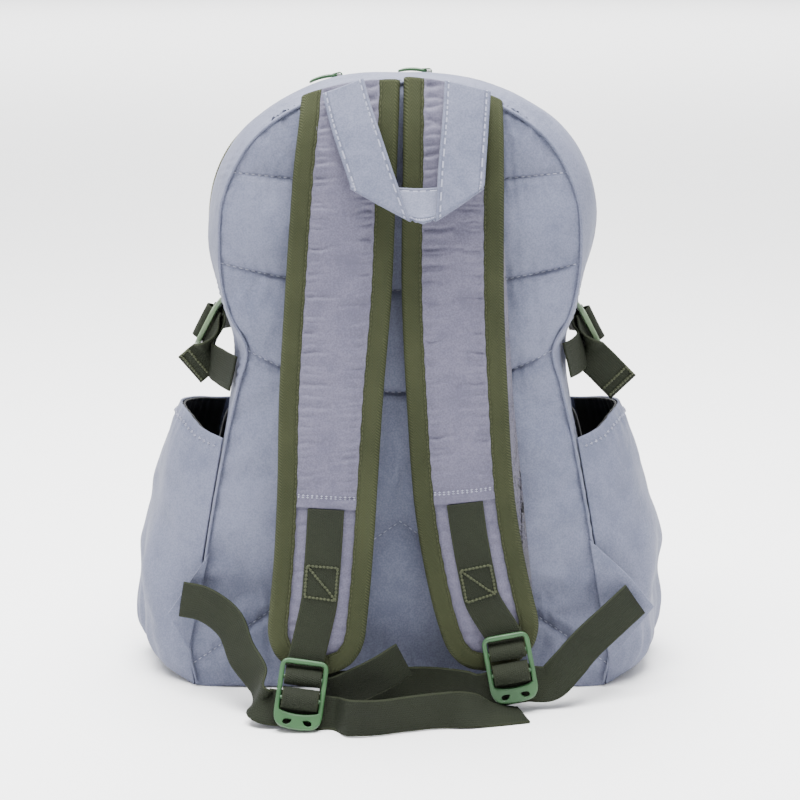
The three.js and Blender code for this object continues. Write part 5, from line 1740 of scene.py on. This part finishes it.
@dataclass(frozen=True)
class Strip:
    """A flat strip of webbing or cloth along a route."""

    rows: tuple[StripRow, ...]
    width: float
    thickness: float
    frame: BuckleFrame | None = None
    lead: tuple[tuple[tuple[float, float, float], tuple[float, float, float]], ...] = ()
    waver: float = 0.25

    @lru_cache(maxsize=2)
    def spines(self) -> tuple[Spine, Spine]:
        """Centre line and the directions across it."""
        points = [Vector(point) for point, _ in self.lead]
        acrosses = [Vector(across) for _, across in self.lead]
        for row in self.rows:
            if row.hold is Hold.BUCKLE:
                points.append(self.frame.at(row.a, row.b, row.c))
                level = row.across
                acrosses.append(self.frame.across * level if level else -self.frame.down)
            else:
                unit = BAG.webbing_width if row.hold is Hold.FLOOR else BAG.height
                points.append(route_point(row.a, row.b, row.c * unit))
                acrosses.append(Vector(row.across))
        return Spine(points), Spine(acrosses, 0.4)

    @lru_cache(maxsize=2000)
    def frame_at(self, t: float) -> tuple[Vector, Vector, Vector, Vector]:
        """Centre, along, across and normal of the strip."""
        spine, turns = self.spines()
        along = spine.tangent(t)
        across = turns.at(t)
        across = (across - along * across.dot(along)).normalized()
        return spine.at(t), along, across, along.cross(across).normalized()

    def lay(self, t: float, share: float) -> Vector:
        """Point of the strip's middle layer; share runs -0.5 to 0.5 across it."""
        centre, _, across, normal = self.frame_at(t)
        walked = t * self.spines()[0].length
        wave = noise.noise(Vector((walked / 24.0, share * 1.4, self.width))) * self.waver
        crown = (0.25 - share * share) * 0.5
        point = centre + across * share * self.width + normal * (wave + crown)
        point.z = max(point.z, BAG.floor_gap + self.thickness * 0.3)
        return point

    def mesh(self, step: float = 1.6, columns: int = 14) -> bmesh.types.BMesh:
        """The strip's middle layer, its UV map in millimetres along and across."""
        spine = self.spines()[0]
        rows = max(int(spine.length / step), 8)
        made = lattice(
            spread(0.0, spine.length, rows),
            spread(-0.5, 0.5, columns),
            lambda walked, share: self.lay(spine.t_at(walked), share),
            (1.0, self.width),
        )
        layer = made.loops.layers.uv["UVMap"]
        for face in made.faces:
            for loop in face.loops:
                along, across = loop[layer].uv
                loop[layer].uv = (along, across + self.width / 2)
        return made

    def stitches(self, mesh: bmesh.types.BMesh, spots: Sequence[Flat], pitch: float = 3.0) -> None:
        """Lay stitches through spots on the strip.

        Args:
            mesh: the strip.
            spots: distance from its end and from its middle, in millimetres.
            pitch: from one stitch to the next.
        """
        spine = self.spines()[0]
        path = []
        for (a0, s0), (a1, s1) in zip(spots, spots[1:]):
            for number in range(13):
                walk, aside = mix(a0, a1, number / 12), mix(s0, s1, number / 12)
                t = spine.t_at(walk)
                normal = self.frame_at(t)[3]
                if normal.y > 0:
                    normal = -normal
                path.append((self.lay(t, aside / self.width) + normal * (self.thickness / 2 + 0.1), normal))
        add_stitches(mesh, path, pitch, 0.66, 0.3)


def normal_of(
    place: LatticePlace, first: float, second: float, step: tuple[float, float], facing: Vector
) -> Vector:
    """Unit normal of a surface at a place, on the side that facing points to.

    Args:
        place: the surface.
        first: first parameter.
        second: second parameter.
        step: how far to look along each parameter.
        facing: roughly outwards.

    Returns:
        The normal.
    """
    here = place(first, second)
    along = place(first + step[0], second) - here
    up = place(first, second + step[1]) - here
    normal = along.cross(up).normalized()
    return normal if normal.dot(facing) > 0 else -normal


def gather(first: bmesh.types.BMesh, *others: bmesh.types.BMesh) -> bmesh.types.BMesh:
    """Put several meshes in one."""
    for other in others:
        scratch = bpy.data.meshes.new("scratch")
        other.to_mesh(scratch)
        other.free()
        first.from_mesh(scratch)
        bpy.data.meshes.remove(scratch)
    return first


def band(
    name: str,
    node: str,
    meshes: Sequence[bmesh.types.BMesh],
    length: float,
    rests_on: str,
    held: str = "stretched",
    finishes: tuple[object, ...] = (WEBBING,),
) -> None:
    """Args:
        name: the piece's name.
        node: the node that it stands for.
        meshes: its strips.
        length: their length together, in millimetres.
        rests_on: what it lies on or hangs from.
        held: how it is held.
        finishes: its materials.
    """
    made = WARDROBE.piece(name, gather(*meshes), finishes, "webbing", [node], wall=BAG.webbing, offset=0.0)
    sewn(made, BAG.webbing_width, length, rests_on, held)


LADDERS = {
    Side.LEFT: BuckleFrame(-0.491, 0.563, 0.053, (-0.124, -0.476, -0.87), (1.0, 0.0, -0.14)),
    Side.RIGHT: BuckleFrame(0.557, 0.354, 0.0715, (0.185, -0.205, -0.96), (1.0, 0.0, 0.19)),
}
SIDE_LADDERS = {
    Side.LEFT: BuckleFrame(-1.01, -0.51, 0.578, (-0.05, -1.0, 0.0), (0.46, 0.0, 0.89)),
    Side.RIGHT: BuckleFrame(0.995, -0.51, 0.574, (0.05, -1.0, 0.0), (0.46, 0.0, -0.89)),
}
ROLL = ((0.33, -0.14), (0.2, -0.14), (0.06, -0.125), (-0.035, -0.07), (-0.07, 0.02), (-0.035, 0.1), (0.05, 0.145))
ROLL += ((0.14, 0.125), (0.195, 0.06), (0.205, -0.02), (0.235, -0.075), (0.3, -0.088))
FIXED_LOOP = (
    (-0.44, -0.085), (-0.385, -0.07), (-0.335, -0.01), (-0.28, 0.055), (-0.215, 0.065), (-0.155, 0.02),
)
FIXED_LOOP += ((-0.15, -0.05), (-0.21, -0.105), (-0.35, -0.12), (-0.55, -0.128))
ADJUSTERS = {
    Side.LEFT: (
        floor_row(-1.125, 0.085, 2.75, 0.4, 0.0, 0.92),
        floor_row(-1.0, 0.145, 2.7, 0.33, 0.0, 0.94),
        floor_row(-0.865, 0.235, 2.3, 0.5, -0.05, 0.86),
        floor_row(-0.8, 0.335, 1.65, 0.55, -0.1, 0.82),
        floor_row(-0.71, 0.435, 1.1, 0.35, -0.1, 0.93),
        buckle_row(-0.55, 0.17, -0.19),
        buckle_row(-0.2, 0.2, -0.15),
        buckle_row(0.2, 0.2, -0.14),
    ),
    Side.RIGHT: (
        floor_row(1.21, 0.085, 2.75, -0.6, 0.0, 0.8),
        floor_row(1.1, 0.165, 2.35, -0.55, 0.0, 0.83),
        floor_row(0.95, 0.24, 1.72, -0.6, 0.0, 0.8),
        floor_row(0.84, 0.29, 1.12, -0.55, 0.15, 0.82),
        floor_row(0.76, 0.31, 0.72, -0.25, 0.3, 0.92),
        buckle_row(0.2, 0.29, -0.16),
        buckle_row(-0.2, 0.27, -0.14),
    ),
}
TAILS = {
    Side.LEFT: (
        buckle_row(-0.3, 0.21, -0.085),
        buckle_row(0.2, 0.21, -0.085),
        buckle_row(0.5, 0.21, -0.095),
        floor_row(-0.245, 0.69, 0.54, 0.0, 0.1, 1.0),
        floor_row(-0.11, 0.68, 0.53, 0.0, 0.0, 1.0),
        floor_row(0.03, 0.635, 0.53, 0.0, 0.0, 1.0),
        floor_row(0.19, 0.59, 0.53, 0.0, 0.05, 1.0),
        floor_row(0.36, 0.535, 0.42, 0.0, 0.65, 0.75),
        floor_row(0.49, 0.48, 0.17, 0.0, 0.97, 0.24),
        floor_row(0.62, 0.44, 0.08, 0.0, 1.0, 0.03),
    ),
    Side.RIGHT: (
        buckle_row(0.3, 0.25, -0.088),
        buckle_row(-0.2, 0.25, -0.088),
        buckle_row(-0.5, 0.27, -0.1),
        floor_row(0.33, 0.29, 0.54, 0.05, 0.0, 1.0),
        floor_row(0.16, 0.24, 0.54, 0.0, 0.0, 1.0),
        floor_row(-0.02, 0.255, 0.56, 0.0, 0.0, 1.0),
        floor_row(-0.19, 0.3, 0.58, -0.1, 0.0, 0.99),
        floor_row(-0.335, 0.335, 0.6, -0.05, 0.0, 1.0),
        floor_row(-0.4, 0.375, 0.58, 0.0, 0.0, 1.0),
        floor_row(-0.345, 0.425, 0.62, -0.15, 0.0, 0.98),
        floor_row(-0.2, 0.42, 0.94, -0.38, 0.0, 0.92),
        floor_row(-0.08, 0.41, 1.26, -0.55, 0.0, 0.83),
        floor_row(0.02, 0.36, 1.52, -0.68, -0.1, 0.72),
    ),
}
SIDE_ROUTES = {
    Side.LEFT: (
        bag_row(-0.85, -0.02, 0.523, 0.25, 0.0, 0.97),
        bag_row(-0.925, -0.15, 0.526, 0.2, 0.0, 0.98),
        bag_row(-0.985, -0.28, 0.533, 0.12, 0.0, 0.99),
        buckle_row(0.0, 0.42, -0.19, 1.0),
        buckle_row(0.0, 0.22, -0.14, 1.0),
    ),
    Side.RIGHT: (
        bag_row(0.85, -0.02, 0.545, -0.28, 0.0, 0.96),
        bag_row(0.91, -0.15, 0.545, -0.25, 0.0, 0.97),
        bag_row(0.95, -0.28, 0.55, -0.25, 0.0, 0.97),
        buckle_row(0.0, 0.42, -0.19, -1.0),
        buckle_row(0.0, 0.22, -0.14, -1.0),
    ),
}
SIDE_TAILS = {
    Side.LEFT: (
        buckle_row(0.0, 0.25, -0.088, 1.0),
        buckle_row(0.0, 0.5, -0.1, 1.0),
        bag_row(-1.0, -0.285, 0.54, -0.1, 0.0, 0.99),
        bag_row(-1.055, -0.28, 0.524, -0.4, 0.0, 0.92),
        bag_row(-1.1, -0.3, 0.511, -0.53, 0.0, 0.85),
    ),
    Side.RIGHT: (
        buckle_row(0.0, 0.25, -0.088, -1.0),
        buckle_row(0.0, 0.5, -0.1, -1.0),
        bag_row(0.98, -0.285, 0.545, 0.1, 0.0, 0.99),
        bag_row(1.06, -0.28, 0.518, 0.5, 0.0, 0.87),
        bag_row(1.17, -0.3, 0.482, 0.63, 0.0, 0.77),
    ),
}
SIDE_ANCHORS = {
    Side.LEFT: (bag_row(-0.925, -0.97, 0.57, 0.2, 0.0, 0.98), bag_row(-0.955, -0.86, 0.572, 0.35, 0.0, 0.94)),
    Side.RIGHT: (bag_row(0.925, -0.97, 0.565, -0.2, 0.0, 0.98), bag_row(0.955, -0.86, 0.568, -0.35, 0.0, 0.94)),
}


@dataclass(frozen=True)
class LadderBuckle:
    """A moulded ladder buckle: a frame with a window, two bars and a plate with two teardrop holes."""

    frame: BuckleFrame
    half: float = 16.65
    top: float = 24.0
    corner: float = 7.0
    rail: float = 3.4
    plate: float = 11.5
    hole: float = 4.0
    thick: float = 4.0
    bar: float = 1.55
    rounding: float = 1.25
    hole_rounding: float = 0.35

    @staticmethod
    def curve(start: Flat, control: Flat, end: Flat, steps: int = 9) -> list[Flat]:
        """Points of a quadratic curve, without its last."""
        found = []
        for number in range(steps):
            t = number / steps
            a, b, c = (1 - t) ** 2, 2 * t * (1 - t), t * t
            x, y = (a * start[way] + b * control[way] + c * end[way] for way in (0, 1))
            found.append((x, y))
        return found

    def outline(self) -> list[Flat]:
        """Outer edge, counter-clockwise from the lower left."""
        half, top, corner = self.half, self.top, self.corner
        shoulder, foot = half - corner * 1.3, -top + 0.4
        points = self.curve((-half, -top + corner * 1.7), (-half, -top + 1), (-shoulder, foot))
        points += self.curve((-shoulder, foot), (0, -top - 0.6), (shoulder, foot))
        points += self.curve((shoulder, foot), (half, -top + 1), (half, -top + corner * 1.7))
        points += [(half, 0.0)]
        points += self.curve((half, top - corner), (half, top), (half - corner, top))
        points += [(0.0, top)]
        points += self.curve((-half + corner, top), (-half, top), (-half, top - corner))
        return points + [(-half, top - corner), (-half, 0.0)]

    def window(self) -> list[Flat]:
        """Edge of the window, clockwise."""
        inner, low, high = self.half - self.rail, -self.top + self.plate, self.top - self.rail
        points = self.curve((-inner, high - 2), (-inner, high), (-inner + 2, high), 5)
        points += self.curve((inner - 2, high), (inner, high), (inner, high - 2), 5)
        points += [(inner, high - 2), (inner, 0.0)]
        points += self.curve((inner, low + 1), (0, low - 3), (-inner, low + 1), 14)
        return points + [(-inner, low + 1), (-inner, 0.0)]

    def teardrop(self, side: int) -> list[Flat]:
        """Edge of one of the two holes in the plate, clockwise."""
        x, y, size = side * self.half * 0.42, -self.top + self.plate * 0.42, self.hole
        tip, far = (x - side * size * 0.8, y + size * 0.35), (x + side * size * 0.6, y + size * 0.3)
        points = self.curve(tip, (x, y + size * 0.62), far, 6)
        points += self.curve(far, (x + side * size * 1.05, y - size * 0.5), (x, y - size * 0.5), 8)
        points += self.curve((x, y - size * 0.5), (x - side * size * 0.6, y - size * 0.4), tip, 6)
        return points if side > 0 else points[::-1]

    def rim(self, points: list[Flat], rounding: float) -> bmesh.types.BMesh:
        """The rounded wall along an edge.

        Args:
            points: the edge, with the plastic on its left.
            rounding: radius of the rounding.

        Returns:
            The wall, open at the two flat faces.
        """
        count = len(points)
        low, high = -self.thick * 0.4, self.thick * 0.6
        levels = [(math.pi / 2 * k / 4, low + rounding, -1) for k in range(5)][::-1]
        levels += [(math.pi / 2 * k / 4, high - rounding, 1) for k in range(5)]

        def lay(level: float, number: float) -> Vector:
            """Point of the wall."""
            angle, middle, sign = levels[round(level)]
            index = round(number) % count
            (ax, ay), (x, y), (bx, by) = points[index - 1], points[index], points[(index + 1) % count]
            tangent = Vector((bx - ax, by - ay)).normalized()
            inset = rounding * (1 - math.cos(angle))
            x, y = x - tangent.y * inset, y + tangent.x * inset
            rise = middle + sign * rounding * math.sin(angle)
            return self.frame.at(x / self.frame.length, -y / self.frame.length, rise / self.frame.length)

        wall = lattice(spread(0.0, 9.0, 9), spread(0.0, float(count), count), lay)
        bmesh.ops.remove_doubles(wall, verts=wall.verts[:], dist=1e-6)
        return wall

    def rod(self, down: float, out: float) -> bmesh.types.BMesh:
        """A bar across the window."""
        reach = self.half - self.rail / 2

        def lay(turn: float, aside: float) -> Vector:
            """Point of the bar."""
            y, z = math.cos(turn) * self.bar, math.sin(turn) * self.bar + out
            length = self.frame.length
            return self.frame.at(aside / length, (down + y) / length, z / length)

        made = lattice(spread(0.0, 2 * math.pi, 20), spread(-reach, reach, 12), lay)
        bmesh.ops.remove_doubles(made, verts=made.verts[:], dist=1e-6)
        bmesh.ops.recalc_face_normals(made, faces=made.faces[:])
        return made

    def build(self, name: str, node: str, finish: MouldedPlastic, slot: str) -> None:
        """The whole buckle."""
        rims = [self.rim(self.outline(), self.rounding), self.rim(self.window(), self.rounding)]
        rims += [self.rim(self.teardrop(side), self.hole_rounding) for side in (-1, 1)]
        mesh = gather(*rims)
        middle = world(self.frame.at(0.0, 0.0, self.thick * 0.1 / self.frame.length))
        caps = []
        for sign in (1, -1):
            edges = [
                edge
                for edge in mesh.edges
                if edge.is_boundary and sign * (edge.verts[0].co - middle).dot(self.frame.out) > 0
            ]
            made = bmesh.ops.triangle_fill(mesh, use_beauty=True, use_dissolve=False, edges=edges)
            caps += [item for item in made["geom"] if isinstance(item, bmesh.types.BMFace)]
        bmesh.ops.recalc_face_normals(mesh, faces=mesh.faces[:])
        for face in caps:
            face.tag = True
        flat = [face.tag for face in mesh.faces]
        length = self.frame.length
        mesh = gather(mesh, self.rod(-0.235 * length, -0.1), self.rod(0.07 * length, 0.7))
        made = WARDROBE.piece(name, mesh, [finish], slot, [node])
        for polygon, level in zip(made.data.polygons, flat):
            polygon.use_smooth = not level


@dataclass(frozen=True)
class StrapHardware:
    """A shoulder strap's sewn webbing, ladder buckle and adjusting webbing with its loose tail."""

    side: Side
    strap: ShoulderStrap

    def sewn_strip(self) -> Strip:
        """Webbing from the hem over the pad to the buckle's fixed bar."""
        strap = self.strap
        hem = strap.length * strap.hem + 0.3
        last = strap.length * 0.875
        high = strap.edge / 2 + strap.puff + 0.6 + BAG.webbing / 2
        lead = []
        for number in range(6):
            spot = strap.frame(hem + (last - hem) * number / 5)
            lead.append((tuple(spot.at(0.0, high)), tuple(spot.across)))
        rows = tuple(buckle_row(0.0, down, out, 1.0) for down, out in FIXED_LOOP)
        return Strip(rows, BAG.webbing_width, BAG.webbing, LADDERS[self.side], tuple(lead))

    def build(self) -> None:
        """All three pieces."""
        name = self.side.value
        ladder = LADDERS[self.side]
        sewn_webbing = self.sewn_strip()
        mesh = sewn_webbing.mesh()
        low = (self.strap.length * (0.875 - self.strap.hem)) - 2.0
        half = BAG.webbing_width / 2 - 2.0
        high = low - 22.0
        box = ((high, -half), (high, half), (low, half), (low, -half), (high, -half), (low, half))
        sewn_webbing.stitches(mesh, box, 2.6)
        rests_on, sewn_down = f"strap_cover_cloth_{name}", (WEBBING, OLIVE_THREAD)
        length = sewn_webbing.spines()[0].length
        band(f"strap_webbing_band_{name}", f"strap_webbing_{name}", [mesh], length, rests_on, "laid", sewn_down)
        names = (f"ladder_buckle_mould_{name}", f"ladder_buckle_{name}")
        LadderBuckle(ladder).build(*names, GREEN_PLASTIC, "green_plastic")
        roll = tuple(buckle_row(0.0, down, out, 1.0) for down, out in ROLL)
        strips = [
            Strip(rows, BAG.webbing_width, BAG.webbing, ladder, waver=waver)
            for rows, waver in ((ADJUSTERS[self.side], 0.5), (roll, 0.1), (TAILS[self.side], 0.5))
        ]
        length = sum(strip.spines()[0].length for strip in strips)
        meshes = [strip.mesh(1.4) for strip in strips]
        rests_on = f"ladder_buckle_mould_{name}"
        band(f"adjuster_webbing_band_{name}", f"adjuster_webbing_{name}", meshes, length, rests_on, "laid")


@dataclass(frozen=True)
class SideStrap:
    """A side compression strap: anchor loop, pale buckle, webbing and hemmed tail."""

    side: Side

    def build(self) -> None:
        """All three pieces."""
        name = self.side.value
        ladder = SIDE_LADDERS[self.side]
        level = 1.0 if self.side is Side.LEFT else -1.0
        loop = tuple(buckle_row(0.0, down, out, level) for down, out in FIXED_LOOP)
        anchor = Strip(SIDE_ANCHORS[self.side] + loop, BAG.webbing_width, BAG.webbing, ladder)
        length = anchor.spines()[0].length
        band(f"side_anchor_band_{name}", f"side_anchor_{name}", [anchor.mesh()], length, "front_gusset_cloth")
        roll = tuple(buckle_row(0.0, down, out, level) for down, out in ROLL)
        tail = Strip(SIDE_TAILS[self.side], BAG.webbing_width, BAG.webbing, ladder)
        end = tail.spines()[0].length
        hem = tail.mesh()
        half = BAG.webbing_width / 2 - 1.0
        outer, inner = end - 3.0, end - 10.0
        tail.stitches(hem, ((outer, -half), (outer, half), (inner, half), (inner, -half)), 2.4)
        strips = [
            Strip(SIDE_ROUTES[self.side], BAG.webbing_width, BAG.webbing, ladder),
            Strip(roll, BAG.webbing_width, BAG.webbing, ladder, waver=0.1),
        ]
        length = end + sum(strip.spines()[0].length for strip in strips)
        meshes, sewn_down = [hem, *(strip.mesh() for strip in strips)], (WEBBING, OLIVE_THREAD)
        rests_on = "back_gusset_cloth"
        band(f"side_webbing_band_{name}", f"side_webbing_{name}", meshes, length, rests_on, finishes=sewn_down)
        names = (f"side_buckle_mould_{name}", f"side_buckle_{name}")
        LadderBuckle(ladder).build(*names, PALE_PLASTIC, "pale_green_plastic")
        WARDROBE.rounded_node(f"webbing_tab_cloth_{name}", f"webbing_tab_{name}", NYLON, "nylon", 0.8, soften=1)


class LoopRow(NamedTuple):
    """Row of the carry loop: its outer and inner edge, each as across, stand and height."""

    outer: tuple[float, float, float]
    inner: tuple[float, float, float]


@dataclass(frozen=True)
class GrabLoop:
    """The carry loop: a strip of cloth with two rows of stitches, folded over at the foot of either leg."""

    width: float = 31.0
    thickness: float = 2.4
    length: float = 232.0
    rows: tuple[LoopRow, ...] = (
        LoopRow((-0.38, 0.11, 0.972), (-0.178, 0.112, 0.995)),
        LoopRow((-0.345, 0.155, 0.932), (-0.14, 0.17, 0.955)),
        LoopRow((-0.312, 0.195, 0.9), (-0.102, 0.212, 0.921)),
        LoopRow((-0.243, 0.262, 0.839), (-0.034, 0.28, 0.859)),
        LoopRow((-0.24, 0.275, 0.834), (0.045, 0.335, 0.79)),
        LoopRow((-0.233, 0.25, 0.833), (0.058, 0.325, 0.786)),
        LoopRow((-0.117, 0.235, 0.833), (0.08, 0.33, 0.783)),
        LoopRow((0.083, 0.225, 0.829), (0.111, 0.345, 0.782)),
        LoopRow((0.282, 0.235, 0.833), (0.138, 0.33, 0.783)),
        LoopRow((0.398, 0.25, 0.833), (0.16, 0.325, 0.786)),
        LoopRow((0.405, 0.275, 0.834), (0.172, 0.335, 0.79)),
        LoopRow((0.41, 0.262, 0.839), (0.184, 0.28, 0.858)),
        LoopRow((0.426, 0.195, 0.903), (0.201, 0.212, 0.916)),
        LoopRow((0.434, 0.15, 0.94), (0.21, 0.165, 0.952)),
        LoopRow((0.442, 0.108, 0.975), (0.218, 0.108, 0.992)),
    )

    def build(self) -> None:
        """The loop."""
        outer = Spine([route_point(x, stand, z * BAG.height) for (x, stand, z), _ in self.rows], 0.28)
        inner = Spine([route_point(x, stand, z * BAG.height) for _, (x, stand, z) in self.rows], 0.28)

        def lay(t: float, share: float) -> Vector:
            """Point of the loop's middle layer."""
            a, b = outer.at(t), inner.at(t)
            ahead = outer.at(t + 0.01) + inner.at(t + 0.01) - outer.at(t - 0.01) - inner.at(t - 0.01)
            normal = ahead.cross(b - a).normalized()
            wave = noise.noise(Vector((t * 9, share * 1.4, 2.0))) * 0.8
            return a.lerp(b, share) + normal * wave

        mesh = lattice(spread(0.0, 1.0, 196), spread(0.0, 1.0, 18), lay, (self.length, self.width))
        cloth = StitchedCloth(NYLON, PALE_THREAD, (StitchRow(2.6), StitchRow(self.width - 2.6)))
        made = WARDROBE.piece(
            "grab_loop_cloth", mesh, [cloth], "nylon", ["grab_loop"], wall=self.thickness, offset=0.0
        )
        sewn(made, self.width, self.length, "back_gusset_cloth", "hung")


@dataclass(frozen=True)
class MainZip:
    """The arched zip: tape, two rows of teeth, sliders and moulded pulls."""

    tooth_pitch: float = 2.1
    tooth_rise: float = 0.15
    tooth_half: tuple[float, float] = (1.15, 0.75)
    walk_steps: int = 2400
    recess: float = 0.6
    bulge: float = 1.0
    drop: float = 0.018

    def frame_at(self, place: float) -> tuple[Vector, Vector, Vector]:
        """Point on the zip's line, its direction and outwards."""
        lean = zip_lean(place)
        deep, bulge = 0.5 - ZIP_SHIFT * lean, self.bulge - 0.09 * lean
        point = SHAPE.point(place, deep, bulge, self.drop)
        ahead = SHAPE.point(place + 0.004, deep, bulge, self.drop)
        behind = SHAPE.point(place - 0.004, deep, bulge, self.drop)
        along = (ahead - behind).normalized()
        return point, along, Vector((-along.z, 0.0, along.x)).normalized()

    def lay(self, place: float, across: float) -> Vector:
        """Point of the tape, slightly hollow to each side of the teeth."""
        point, _, out = self.frame_at(place)
        point.y += across
        rise = 0.16 * across * zip_lean(place)
        buried = 2.2 * (1 - smooth(min(place, 1 - place), BAG.zip_first - 0.012, BAG.zip_first + 0.01))
        return point - out * (self.recess - rise + buried + 0.25 * math.cos(across * 0.9))

    def build(self) -> None:
        """Tape with teeth, sliders and pulls."""
        first = BAG.zip_first - BAG.zip_fade
        half = BAG.zip_slot / 2 - 0.3
        columns, rows = spread(first, 1 - first, 240), spread(-half, half, 10)
        tape = lattice(columns, rows, self.lay, (1150.0, 1.0), away_from_middle)
        length = 0.0
        last = self.frame_at(first)[0]
        for number in range(1, self.walk_steps + 1):
            here, along, out = self.frame_at(first + (1 - 2 * first) * number / self.walk_steps)
            length += (here - last).length
            last = here
            if length < self.tooth_pitch:
                continue
            length -= self.tooth_pitch
            for side in (-1, 1):
                centre = here + out * self.tooth_rise + Vector((0.0, side * 0.75, 0.0))
                centre += along * (side * self.tooth_pitch / 4)
                axes = (along, Vector((0, 1, 0)), out)
                add_bead(tape, centre, axes, (self.tooth_pitch * 0.34, *self.tooth_half))
        teeth = MouldedPlastic("zip_teeth", (0.12, 0.125, 0.045, 1.0), (0.075, 0.08, 0.028, 1.0), 0.4)
        WARDROBE.piece("zip_tape_and_teeth", tape, [ZIP_CLOTH, teeth], "zip_tape", ["main_zip"], wall=0.9)
        for letter in ("a", "b"):
            WARDROBE.rounded_node(f"slider_body_{letter}", f"zip_slider_{letter}", SliderMetal(), "slider_metal", 0.3)
            pull = (f"pull_mould_{letter}", f"zip_pull_{letter}")
            WARDROBE.rounded_node(*pull, GREEN_PLASTIC, "green_plastic", 0.4, body=f"pull_{letter}", soften=1)


class LightRow(NamedTuple):
    """A square light: its place, size, power and what it is aimed at."""

    name: str
    place: tuple[float, float, float]
    size: float
    power: float
    aim: tuple[float, float, float] = (0.0, 0.0, 0.2)


@dataclass(frozen=True)
class Studio:
    """Plain pale floor, soft light from above and the camera a little above the bag's middle."""

    elevation: float = 12.0
    distance: float = 1.5
    lens: float = 96.4
    target: tuple[float, float, float] = (0.0, -0.03, 0.21)
    daylight: float = 0.72
    lights: tuple[LightRow, ...] = (
        LightRow("over", (-0.1, -0.25, 2.3), 1.8, 235.0),
        LightRow("left", (-1.9, -1.3, 1.3), 1.2, 12.0),
        LightRow("right", (1.9, -1.1, 1.1), 1.2, 6.0),
        LightRow("backdrop", (0.0, 13.0, 9.0), 18.0, 6500.0, (0.0, 14.0, 0.0)),
    )

    def add_camera(self) -> None:
        """The camera at the photograph's angle."""
        tilt = math.radians(self.elevation)
        aim = Vector(self.target)
        data = bpy.data.cameras.new("camera")
        data.lens = self.lens
        data.sensor_width = 36.0
        data.clip_start = 0.05
        camera = bpy.data.objects.new("camera", data)
        camera.location = aim + Vector((0.0, -math.cos(tilt), math.sin(tilt))) * self.distance
        camera.rotation_euler = (aim - camera.location).to_track_quat("-Z", "Y").to_euler()
        bpy.context.scene.collection.objects.link(camera)
        bpy.context.scene.camera = camera

    def add_floor(self) -> None:
        """A flat pale floor."""
        mesh = bmesh.new()
        bmesh.ops.create_grid(mesh, x_segments=1, y_segments=1, size=30.0)
        data = bpy.data.meshes.new("floor")
        mesh.to_mesh(data)
        mesh.free()
        floor = bpy.data.objects.new("floor", data)
        graph = Graph("floor")
        grain = graph.noise(3.0)
        pale = graph.blend(grain, (0.94, 0.94, 0.94, 1.0), (0.97, 0.97, 0.97, 1.0))
        data.materials.append(graph.finish(pale, 0.7))
        bpy.context.scene.collection.objects.link(floor)

    def add_light(self, row: LightRow) -> None:
        """A soft square light.

        Args:
            row: what it is and where it stands.
        """
        data = bpy.data.lights.new(row.name, "AREA")
        data.shape = "SQUARE"
        data.size = row.size
        data.energy = row.power
        light = bpy.data.objects.new(row.name, data)
        light.location = row.place
        light.rotation_euler = (Vector(row.aim) - Vector(row.place)).to_track_quat("-Z", "Y").to_euler()
        bpy.context.scene.collection.objects.link(light)

    def build(self) -> None:
        """Everything that isn't the bag."""
        self.add_camera()
        self.add_floor()
        for row in self.lights:
            self.add_light(row)
        world_light = bpy.data.worlds.new("room")
        world_light.use_nodes = True
        background = world_light.node_tree.nodes["Background"]
        background.inputs["Color"].default_value = (0.96, 0.97, 1.0, 1.0)
        background.inputs["Strength"].default_value = self.daylight
        bpy.context.scene.world = world_light


def main() -> None:
    """Build the bag from the body outwards."""
    logging.basicConfig(level=logging.INFO, format="%(message)s")
    Studio().build()
    Gusset().build()
    QuiltedBack().build()
    PlainPanels().build()
    MainZip().build()
    for side in Side:
        SidePocket(side).build()
        strap = ShoulderStrap(side)
        strap.build()
        StrapHardware(side, strap).build()
        SideStrap(side).build()
    GrabLoop().build()


if __name__ == "__main__":
    main()
